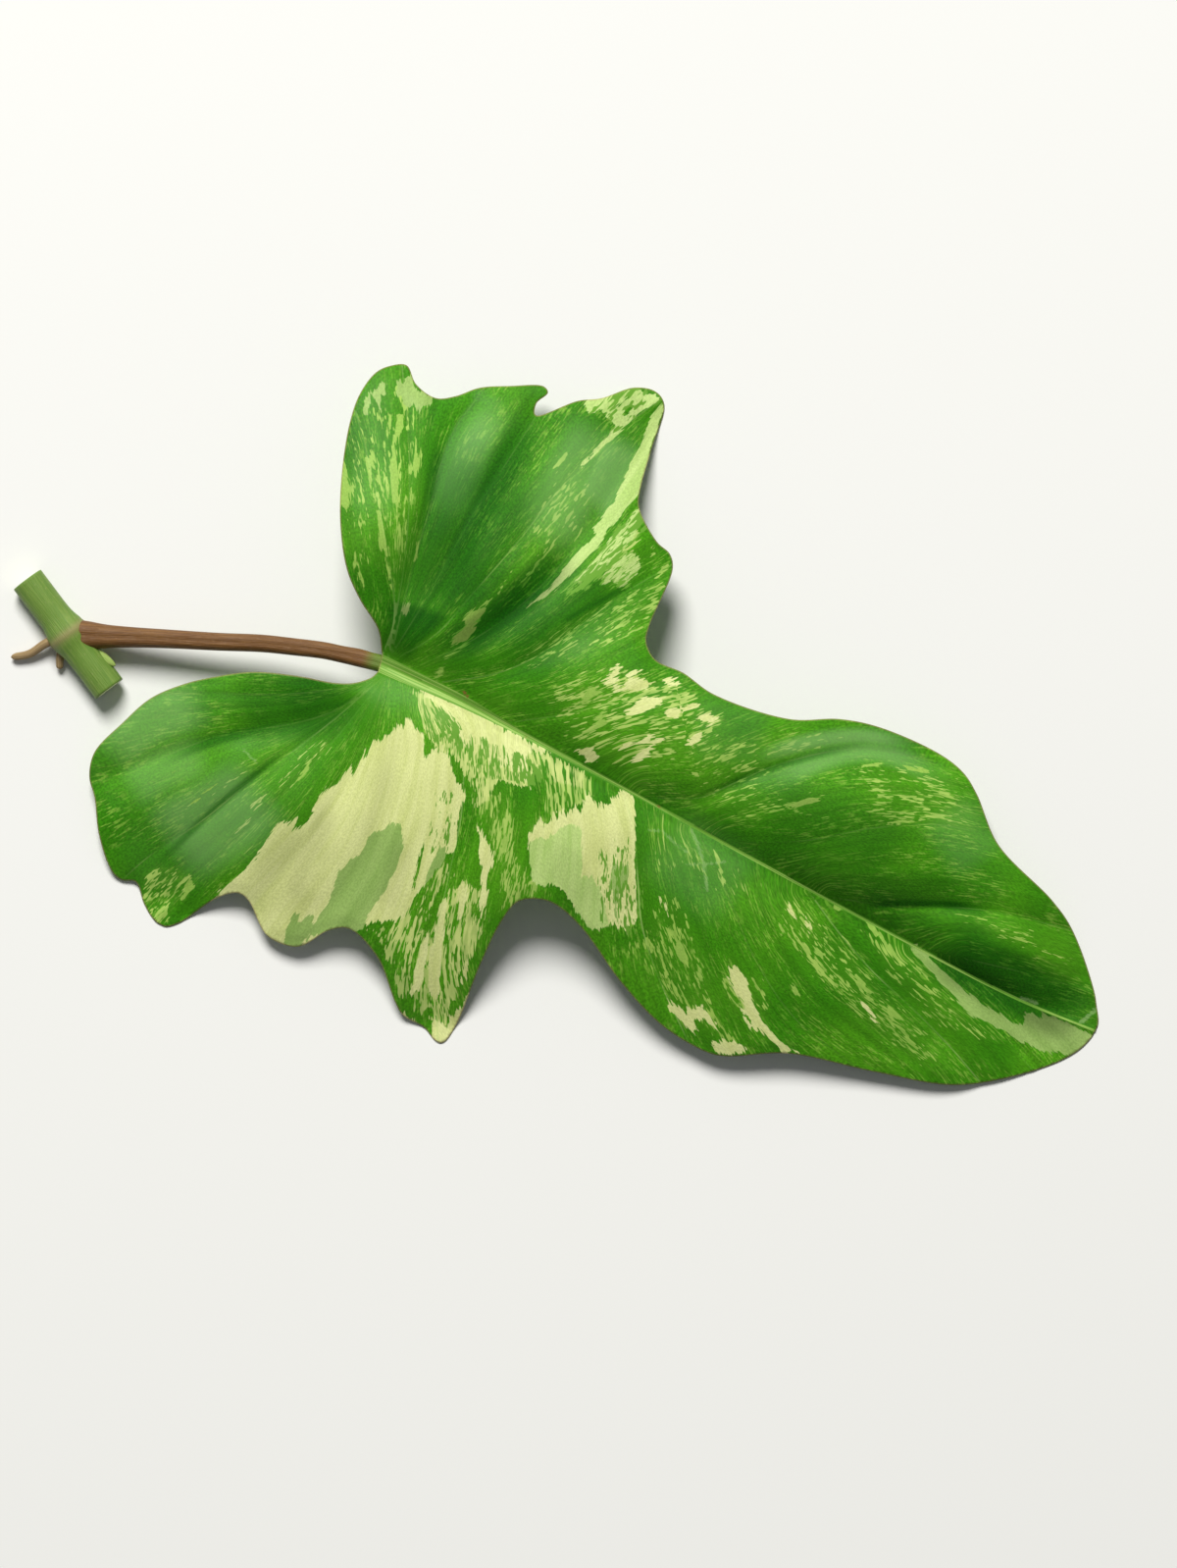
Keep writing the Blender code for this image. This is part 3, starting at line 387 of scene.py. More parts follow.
# Cream markings, outlined in the photograph's pixels
CREAM_OUTLINES: Outlines = (
    # Cluster above the midrib: crown, crown right, middle, right crown, right streak, bright spot, lower
    # right, lower spot, lower blade, lower left spot
    (631, 675, 635, 680, 629, 690, 633, 695, 631, 700, 640, 704, 626, 705, 620, 700, 613, 697, 618, 690,
     620, 682, 626, 680),
    (642, 684, 648, 682, 650, 690, 655, 694, 665, 696, 660, 703, 650, 705, 640, 703, 636, 700, 636, 692),
    (650, 714, 656, 711, 664, 711, 676, 712, 674, 719, 665, 722, 660, 728, 650, 729, 642, 730, 636, 728,
     640, 723, 646, 719),
    (684, 690, 690, 692, 691, 698, 684, 700, 678, 698, 672, 698, 675, 694),
    (676, 726, 682, 722, 690, 722, 697, 720, 707, 715, 713, 718, 708, 723, 700, 724, 692, 728, 688, 733,
     680, 731),
    (712, 731, 722, 726, 732, 731, 731, 737, 724, 739, 716, 737),
    (712, 744, 722, 740, 718, 750, 712, 758, 706, 761, 699, 760, 702, 752, 708, 748),
    (661, 748, 667, 746, 668, 750, 662, 755, 655, 757, 649, 758, 655, 753),
    (676, 752, 672, 757, 668, 760, 663, 764, 660, 768, 656, 773, 650, 777, 643, 774, 648, 769, 655, 764,
     660, 759, 668, 755),
    (646, 757, 640, 761, 632, 764, 634, 759, 640, 757),
    # Along the midrib: upper fleck, lower strip
    (589, 763, 598, 761, 604, 763, 609, 770, 608, 777, 602, 777, 597, 772, 588, 768, 582, 766),
    (426, 701, 436, 703, 448, 708, 462, 713, 478, 720, 494, 728, 510, 738, 526, 747, 540, 754, 552, 759,
     563, 766, 554, 768, 546, 765, 541, 770, 536, 776, 539, 786, 541, 804, 536, 796, 530, 786, 522, 787,
     515, 780, 509, 786, 506, 779, 500, 781, 497, 769, 490, 763, 486, 771, 480, 770, 476, 762, 470, 756,
     468, 744, 462, 734, 455, 731, 448, 723, 441, 715, 433, 711),
    # Big patch, second patch
    (415, 731, 420, 733, 423, 740, 429, 744, 432, 750, 433, 764, 435, 773, 440, 766, 446, 761, 451, 761,
     455, 768, 460, 778, 463, 790, 467, 798, 471, 796, 476, 812, 472, 820, 469, 835, 467, 855, 464, 868,
     458, 870, 450, 873, 445, 882, 440, 892, 433, 900, 428, 908, 422, 916, 416, 926, 410, 935, 402, 940,
     392, 942, 384, 941, 372, 944, 362, 950, 340, 955, 322, 966, 300, 976, 279, 970, 260, 960, 250, 930,
     240, 918, 228, 920, 208, 923, 222, 908, 232, 900, 240, 893, 250, 886, 258, 878, 266, 868, 271, 857,
     277, 845, 283, 838, 288, 836, 290, 841, 295, 838, 301, 833, 304, 842, 310, 838, 316, 833, 320, 822,
     326, 811, 331, 808, 338, 801, 344, 798, 349, 791, 354, 785, 358, 781, 361, 789, 364, 780, 368, 770,
     372, 764, 374, 769, 377, 760, 381, 754, 388, 753, 394, 750, 399, 748, 401, 741, 407, 739, 412, 737),
    (539, 852, 545, 843, 549, 838, 556, 838, 560, 840, 562, 832, 567, 826, 573, 825, 578, 829, 581, 824,
     585, 820, 590, 823, 593, 817, 597, 811, 601, 810, 606, 815, 612, 817, 621, 820, 625, 812, 629, 808,
     634, 804, 640, 807, 645, 813, 646, 825, 647, 840, 648, 860, 647, 880, 648, 900, 648, 925, 650, 938,
     645, 943, 640, 946, 630, 946, 624, 941, 618, 945, 608, 947, 600, 943, 596, 936, 590, 926, 583, 918,
     576, 909, 570, 904, 560, 900, 550, 901, 542, 899, 540, 880, 539, 865),
    # Side lobes: lower blade, left blade, short blade, upper blade, tip, right sliver, left edge
    (449, 915, 457, 917, 455, 935, 452, 955, 450, 975, 449, 995, 447, 1015, 443, 1018, 437, 1016, 436, 1000,
     435, 985, 437, 970, 441, 955, 445, 935),
    (429, 966, 436, 951, 437, 965, 433, 980, 430, 1000, 425, 1011, 417, 1016, 420, 1003, 420, 990, 423, 978),
    (466, 902, 471, 893, 475, 903, 477, 915, 474, 920, 472, 930, 470, 939, 467, 930, 466, 915),
    (486, 840, 492, 845, 493, 857, 500, 860, 503, 868, 504, 880, 500, 887, 497, 900, 498, 912, 494, 925,
     490, 935, 488, 920, 490, 905, 491, 889, 489, 875, 488, 860),
    (441, 1038, 447, 1046, 454, 1050, 458, 1040, 466, 1028, 478, 1012, 484, 1018, 468, 1055, 455, 1072,
     444, 1072, 438, 1058),
    (477, 973, 478, 982, 474, 995, 470, 1006, 467, 1002, 472, 988),
    (405, 1030, 412, 1036, 424, 1042, 436, 1050, 430, 1054, 414, 1046, 402, 1038),
    # Front lobe: lower blade, lower blade foot, lower ragged patch, lower edge patch, lower sliver, lower
    # thin blade, lower thin sliver, lower bright fleck
    (744, 990, 749, 984, 753, 990, 758, 993, 761, 1000, 764, 1010, 768, 1022, 774, 1035, 780, 1043,
     788, 1052, 796, 1060, 805, 1067, 816, 1074, 800, 1076, 795, 1067, 788, 1061, 780, 1054, 772, 1048,
     765, 1039, 760, 1029, 756, 1020, 750, 1012, 745, 1003, 742, 996),
    (754, 1026, 760, 1032, 768, 1044, 775, 1051, 770, 1054, 763, 1047, 757, 1037),
    (680, 1019, 686, 1026, 694, 1025, 698, 1031, 706, 1030, 712, 1026, 717, 1023, 720, 1030, 726, 1038,
     732, 1043, 729, 1049, 722, 1045, 714, 1040, 706, 1038, 708, 1044, 712, 1051, 706, 1053, 698, 1046,
     690, 1038, 683, 1031),
    (727, 1065, 735, 1060, 742, 1063, 750, 1062, 758, 1067, 766, 1069, 758, 1075, 748, 1078, 738, 1077,
     729, 1073),
    (805, 920, 808, 928, 812, 939, 808, 936, 802, 926),
    (820, 934, 826, 941, 832, 953, 829, 957, 823, 946),
    (671, 910, 676, 919, 681, 931, 677, 928, 672, 918),
    (879, 1019, 886, 1026, 892, 1034, 898, 1045, 892, 1044, 886, 1036, 881, 1028),
)
# Grey-green markings, outlined in the photograph's pixels
CELADON_OUTLINES: Outlines = (
    # Rear lobe: point, pale fleck, outer fleck
    (405, 388, 410, 384, 419, 383, 422, 390, 427, 398, 439, 403, 440, 409, 434, 413, 425, 416, 416, 414,
     411, 411, 410, 404, 404, 401),
    (384, 392, 393, 389, 393, 398, 387, 408, 388, 418, 384, 412, 380, 400),
    (374, 403, 379, 399, 378, 412, 373, 425, 369, 420),
    # Leaf's base: pale fleck
    (412, 618, 418, 615, 418, 624, 413, 628, 409, 623),
    # Wedge in the big patch, edge wedge of the big patch, corner wedge of the big patch, grey fleck of the
    # second patch, tip streak
    (404, 837, 393, 843, 385, 848, 376, 851, 373, 861, 367, 872, 357, 877, 351, 886, 345, 885, 341, 899,
     335, 918, 329, 928, 320, 939, 313, 950, 320, 956, 329, 951, 341, 948, 357, 950, 368, 948, 376, 930,
     390, 910, 402, 888, 410, 866, 411, 848),
    (286, 962, 292, 945, 300, 929, 303, 940, 310, 935, 318, 933, 319, 942, 323, 941, 318, 952, 308, 962,
     300, 974, 290, 972),
    (449, 862, 456, 866, 454, 876, 448, 884, 441, 892, 434, 899, 437, 888, 443, 877),
    (626, 880, 634, 884, 641, 880, 640, 900, 632, 912, 629, 925, 630, 940, 625, 932, 624, 915, 621, 900),
    (928, 961, 940, 967, 950, 975, 958, 985, 968, 993, 975, 1000, 985, 1010, 995, 1017, 1005, 1025,
     1018, 1032, 1032, 1041, 1040, 1044, 1046, 1043, 1048, 1036, 1054, 1033, 1062, 1036, 1072, 1036,
     1085, 1041, 1100, 1048, 1130, 1062, 1116, 1080, 1092, 1077, 1080, 1075, 1065, 1072, 1048, 1066,
     1035, 1058, 1020, 1048, 1005, 1042, 993, 1037, 985, 1030, 978, 1020, 968, 1009, 960, 1004, 955, 994,
     948, 988, 942, 980, 934, 973),
)
# Pale green markings, outlined in the photograph's pixels
PALE_OUTLINES: Outlines = (
    # Side lobes: edge patch, long blade, ragged patch, torn streak
    (597, 408, 614, 402, 628, 397, 642, 394, 654, 395, 666, 398, 673, 405, 668, 408, 660, 412, 650, 420,
     642, 428, 630, 440, 614, 455, 598, 471, 593, 477, 592, 472, 598, 467, 610, 453, 622, 440, 629, 431,
     624, 428, 619, 424, 615, 418, 610, 416, 606, 420, 599, 419),
    (675, 408, 670, 414, 664, 420, 661, 430, 658, 442, 652, 454, 644, 470, 638, 482, 635, 488, 629, 500,
     626, 510, 618, 520, 612, 531, 605, 539, 607, 545, 600, 553, 592, 560, 584, 568, 578, 577, 570, 588,
     562, 598, 552, 608, 538, 619, 552, 612, 560, 606, 570, 598, 580, 588, 588, 580, 596, 571, 606, 561,
     614, 551, 618, 541, 625, 535, 633, 527, 637, 519, 643, 512, 650, 505, 653, 498, 656, 486, 660, 472,
     664, 454, 669, 438, 674, 422, 680, 410),
    (616, 583, 622, 582, 629, 573, 640, 562, 645, 565, 650, 570, 652, 576, 649, 585, 642, 592, 634, 599,
     630, 596, 624, 591, 618, 597, 615, 590),
    (606, 571, 616, 560, 622, 548, 632, 540, 640, 530, 646, 520, 653, 516, 655, 526, 651, 538, 645, 550,
     637, 558, 628, 568, 618, 577, 608, 583, 598, 590, 590, 595, 584, 598, 588, 590, 597, 581),
    # Grey part of the second patch
    (541, 858, 549, 853, 556, 854, 566, 850, 569, 844, 580, 840, 592, 842, 594, 870, 593, 892, 604, 894,
     612, 906, 617, 922, 622, 944, 606, 947, 600, 946, 590, 930, 583, 919, 574, 908, 560, 901, 545, 901,
     541, 896, 539, 870),
)
# Green islands in the pale markings, outlined in the photograph's pixels
GREEN_OUTLINES: Outlines = (
    # Island in the edge patch, lower island in the edge patch, green sliver beside the strip
    (628, 411, 634, 406, 641, 402, 638, 407, 631, 412),
    (634, 422, 640, 416, 646, 412, 642, 417, 637, 422),
    (432, 858, 433, 866, 429, 880, 426, 895, 422, 908, 418, 912, 422, 895, 427, 875),
    # Side lobes: green strip
    (472, 817, 480, 822, 481, 836, 487, 853, 486, 875, 478, 882, 473, 895, 466, 905, 459, 906, 455, 914,
     448, 921, 443, 940, 436, 950, 425, 956, 430, 941, 438, 934, 442, 920, 447, 906, 455, 895, 463, 893,
     465, 870, 467, 840),
)

PATCHES: dict[Tone, Outlines] = {
    Tone.LIME: LIME_OUTLINES,
    Tone.CREAM: CREAM_OUTLINES,
    Tone.CELADON: CELADON_OUTLINES,
    Tone.PALE: PALE_OUTLINES,
    Tone.GREEN: GREEN_OUTLINES,
}

ZONES: dict[Fleck, tuple[Zone, ...]] = {
    Fleck.STREAKS: (
        Zone("rear lobe", 0.29, 4.2, (352, 470, 358, 430, 368, 400, 383, 375, 400, 366, 416, 370, 420, 392,
             440, 405, 439, 470, 433, 520, 430, 560, 420, 590, 409, 612, 400, 608, 392, 590, 380, 585,
             370, 603, 358, 590, 347, 545, 343, 510), 0.2),
        Zone("side lobe middle", 0.3, 6.0, (560, 440, 600, 470, 625, 505, 600, 545, 560, 590, 520, 620,
             500, 640, 455, 680, 470, 640, 520, 570, 545, 520), 0.25),
        Zone("round the base blade", 0.36, 3.0, (500, 604, 508, 618, 495, 640, 480, 664, 462, 678, 446, 690,
             440, 684, 450, 664, 462, 640, 474, 622, 486, 610), 0.3),
        Zone("side lobe ragged edge", 0.5, 2.4, (640, 525, 653, 510, 660, 528, 656, 545, 652, 560, 657, 572,
             648, 588, 638, 600, 622, 600, 604, 594, 585, 604, 575, 606, 600, 575, 622, 548), 0.6),
        Zone("side lobe right edge", 0.36, 4.2, (655, 540, 684, 565, 690, 590, 676, 620, 664, 650, 640, 660,
             600, 672, 560, 680, 520, 690, 500, 690, 560, 640, 620, 610, 660, 590), 0.3),
        Zone("cluster", 0.44, 4.2, (590, 700, 615, 680, 640, 674, 670, 690, 700, 695, 722, 715, 735, 735,
             718, 755, 690, 735, 660, 735, 620, 745, 598, 735), 0.45),
        Zone("round the cluster", 0.34, 6.6, (545, 690, 600, 672, 630, 668, 690, 690, 740, 718, 760, 745,
             720, 775, 690, 790, 650, 795, 610, 780, 580, 765, 560, 735), 0.35),
        Zone("front upper middle", 0.3, 7.2, (690, 760, 740, 740, 820, 740, 900, 745, 905, 765, 840, 770,
             790, 800, 860, 800, 850, 840, 760, 850, 700, 815), 0.2),
        Zone("front upper edge", 0.34, 7.2, (850, 770, 940, 768, 985, 785, 1005, 830, 1022, 870, 1000, 870,
             940, 855, 880, 850, 870, 810), 0.25),
        Zone("tip upper", 0.22, 6.6, (930, 925, 1040, 925, 1100, 950, 1115, 1010, 1080, 1020, 1050, 980,
             960, 945), 0.2),
        Zone("below the midrib", 0.6, 2.0, (415, 695, 450, 712, 500, 733, 560, 765, 600, 785, 600, 810,
             560, 800, 555, 780, 540, 808, 510, 800, 500, 820, 480, 830, 476, 800, 460, 775, 440, 765,
             430, 745), 0.85),
        Zone("lower side lobe top", 0.46, 4.2, (478, 800, 520, 800, 530, 830, 540, 880, 560, 898, 560, 912,
             515, 935, 500, 940, 500, 880, 486, 840), 0.3),
        Zone("left of the second patch", 0.46, 2.4, (546, 770, 575, 776, 606, 790, 612, 814, 582, 830,
             556, 846, 550, 815), 0.4),
        Zone("lower side lobe", 0.5, 3.6, (455, 862, 470, 890, 500, 905, 505, 930, 488, 975, 470, 1020,
             455, 1056, 432, 1052, 402, 1025, 388, 985, 368, 944, 400, 935, 425, 910, 440, 890), 0.8),
        Zone("big patch's lower edge", 0.48, 3.6, (372, 946, 400, 936, 420, 916, 436, 900, 430, 930,
             420, 970, 405, 1000, 392, 985), 0.6),
        Zone("front lower left", 0.36, 5.4, (622, 960, 650, 945, 668, 915, 690, 895, 712, 940, 725, 970,
             735, 1005, 745, 1040, 765, 1066, 735, 1072, 700, 1045, 680, 1030, 655, 1010, 635, 990), 0.15),
        Zone("front lower blade", 0.4, 4.2, (725, 990, 745, 985, 765, 990, 785, 995, 792, 1020, 790, 1050,
             810, 1072, 780, 1070, 750, 1040, 732, 1015), 0.2),
        Zone("front lower middle", 0.4, 4.2, (788, 930, 803, 905, 830, 918, 852, 948, 866, 985, 880, 1015,
             858, 1018, 825, 1000, 798, 965), 0.2),
        Zone("front lower right", 0.4, 4.8, (845, 950, 862, 948, 884, 980, 908, 1008, 935, 1035, 960, 1058,
             985, 1090, 940, 1092, 900, 1070, 868, 1045, 848, 1005), 0.2),
        Zone("below the midrib's middle", 0.25, 6.0, (655, 820, 700, 830, 760, 870, 800, 905, 780, 925,
             740, 920, 700, 900, 660, 890), 0.3),
        Zone("beside the tip streak", 0.36, 4.8, (870, 940, 925, 960, 960, 990, 990, 1030, 1040, 1062,
             1000, 1070, 950, 1050, 900, 1000), 0.2),
        Zone("rear tip", 0.4, 3.0, (138, 888, 160, 878, 192, 884, 205, 900, 180, 925, 165, 950, 146, 945,
             136, 915), 0.3),
        Zone("rear inner", 0.34, 4.2, (275, 800, 300, 765, 335, 742, 345, 760, 318, 795, 300, 812,
             282, 820), 0.5),
        Zone("rear pale scratches", 0.32, 3.0, (232, 850, 252, 812, 272, 797, 276, 815, 258, 838,
             240, 862), 0.7),
        Zone("rear middle", 0.24, 5.4, (140, 860, 180, 820, 240, 775, 300, 750, 290, 775, 230, 815,
             170, 860), 0.4),
        Zone("rear edge", 0.26, 4.8, (205, 895, 240, 855, 270, 830, 262, 865, 230, 895), 0.15),
    ),
    Fleck.GREEN_GRAINS: (
        Zone("side lobe edge patch", 0.34, 1.2, (588, 410, 600, 385, 690, 380, 695, 400, 660, 420, 630, 445,
             610, 440)),
        Zone("side lobe ragged patch", 0.36, 1.2, (608, 600, 612, 578, 640, 556, 658, 560, 658, 585,
             640, 602, 620, 606)),
        Zone("side lobe torn edge", 0.54, 1.2, (570, 606, 600, 572, 622, 545, 644, 520, 662, 512, 662, 540,
             640, 564, 622, 584, 600, 602, 580, 612)),
        Zone("beside the strip", 0.58, 2.4, (424, 706, 446, 716, 470, 728, 478, 760, 477, 784, 464, 774,
             452, 760, 438, 766, 432, 748)),
        Zone("strip's ragged foot", 0.52, 1.8, (468, 736, 500, 752, 530, 766, 560, 780, 552, 806, 520, 800,
             490, 795, 474, 780)),
        Zone("big patch's right edge", 0.3, 3.0, (442, 805, 470, 800, 466, 860, 460, 872, 440, 880,
             430, 860)),
        Zone("second patch", 0.42, 6.0, (606, 866, 622, 850, 652, 846, 664, 880, 664, 962, 625, 966,
             603, 955, 600, 900)),
    ),
}


@dataclass(frozen=True)
class PhotoPlan:
    """Where the photograph's pixels lie on the leaf's plan."""

    base: Pair = (393.0, 678.0)
    middle: Pair = (600.0, 799.0)
    long_side: float = 1598.0
    mm_per_pixel: float = 0.3
    turn_degrees: float = 27.48

    def to_plan(self, pixels: Pixels) -> np.ndarray:
        """Lays pixels onto the plan.

        Args:
            pixels: Places in the photograph.

        Returns:
            The same places in millimetres of the leaf's plan.
        """
        dx, dy = (np.reshape(pixels, (-1, 2)) - self.base).T
        turn = math.radians(self.turn_degrees)
        along = math.cos(turn) * dx + math.sin(turn) * dy
        across = math.sin(turn) * dx - math.cos(turn) * dy
        return self.mm_per_pixel * np.column_stack([along, across])


PHOTO = PhotoPlan()


def linear(red: float, green: float, blue: float) -> Colour:
    """The linear colour of a screen colour.

    Args:
        red: Its red, from 0 to 255.
        green: Its green.
        blue: Its blue.

    Returns:
        The linear colour, from 0 to 1.
    """
    shares = np.array([red, green, blue]) / 255.0
    low = shares / 12.92
    high = ((shares + 0.055) / 1.055) ** 2.4
    return tuple(float(v) for v in np.where(shares <= 0.04045, low, high))


def smooth_curve(points: Route, step: float) -> np.ndarray:
    """Points along a centripetal Catmull-Rom curve that keeps each of the given points.

    Args:
        points: The places that the curve passes through.
        step: The longest spacing of its points.

    Returns:
        One row for each point of the curve.
    """
    points = np.asarray(points, float)
    ends = np.vstack([2 * points[0] - points[1], points, 2 * points[-1] - points[-2]])
    out = [points[0]]
    for before, start, end, after in zip(ends[:-3], ends[1:-2], ends[2:-1], ends[3:]):
        gaps = [math.sqrt(np.linalg.norm(b - a)) for a, b in ((before, start), (start, end), (end, after))]
        t0, t1, t2, t3 = np.concatenate([[0.0], np.cumsum(gaps)])
        count = max(1, math.ceil(np.linalg.norm(end - start) / step))
        for t in np.linspace(t1, t2, count + 1)[1:]:
            a1 = (t1 - t) / (t1 - t0) * before + (t - t0) / (t1 - t0) * start
            a2 = (t2 - t) / (t2 - t1) * start + (t - t1) / (t2 - t1) * end
            a3 = (t3 - t) / (t3 - t2) * end + (t - t2) / (t3 - t2) * after
            b1 = (t2 - t) / (t2 - t0) * a1 + (t - t0) / (t2 - t0) * a2
            b2 = (t3 - t) / (t3 - t1) * a2 + (t - t1) / (t3 - t1) * a3
            out.append((t2 - t) / (t2 - t1) * b1 + (t - t1) / (t2 - t1) * b2)
    return np.array(out)


def lengths_along(line: np.ndarray) -> np.ndarray:
    """How far along a line each of its points lies."""
    return np.concatenate([[0.0], np.cumsum(np.linalg.norm(np.diff(line, axis=0), axis=1))])


def even_line(line: np.ndarray, step: float) -> np.ndarray:
    """Evenly spaced points along a line of straight sides.

    Args:
        line: The line's corners.
        step: The spacing that is wanted.

    Returns:
        One row for each point.
    """
    lengths = lengths_along(line)
    wanted = np.linspace(0.0, lengths[-1], max(2, round(lengths[-1] / step)) + 1)
    return np.column_stack([np.interp(wanted, lengths, column) for column in line.T])


def even_curve(points: Route, step: float) -> np.ndarray:
    """Evenly spaced points along the smooth curve through the given ones."""
    return even_line(smooth_curve(points, step / FINER), step)


def distance_to(curve: np.ndarray, points: np.ndarray) -> tuple[np.ndarray, np.ndarray]:
    """Distances to a curve.

    Args:
        curve: The curve's points.
        points: The points to measure from.

    Returns:
        Each point's distance, and how far along the curve its nearest place is, from 0 to 1.
    """
    best = np.full(len(points), np.inf)
    place = np.zeros(len(points))
    last = len(curve) - 1
    x, y = points[:, 0], points[:, 1]
    for index, (start, end) in enumerate(zip(curve[:-1], curve[1:])):
        along = end - start
        dx, dy = x - start[0], y - start[1]
        share = np.clip((dx * along[0] + dy * along[1]) / (along @ along), 0.0, 1.0)
        gap = np.hypot(dx - share * along[0], dy - share * along[1])
        nearer = gap < best
        best[nearer] = gap[nearer]
        place[nearer] = (index + share[nearer]) / last
    return best, place


def inside(outline: np.ndarray, points: np.ndarray) -> np.ndarray:
    """Which points lie inside a closed outline.

    Args:
        outline: The outline's corners.
        points: The points.

    Returns:
        True for each point inside.
    """
    crossed = np.zeros(len(points), bool)
    for start, end in zip(outline, np.roll(outline, -1, axis=0)):
        spans = (start[1] > points[:, 1]) != (end[1] > points[:, 1])
        rise = end[1] - start[1] if end[1] != start[1] else 1.0
        edge_x = start[0] + (points[:, 1] - start[1]) * (end[0] - start[0]) / rise
        crossed ^= spans & (points[:, 0] < edge_x)
    return crossed


def smooth_share(value: np.ndarray) -> np.ndarray:
    """A share from 0 to 1 that starts and ends gently."""
    share = np.clip(value, 0.0, 1.0)
    return share * share * (3.0 - 2.0 * share)


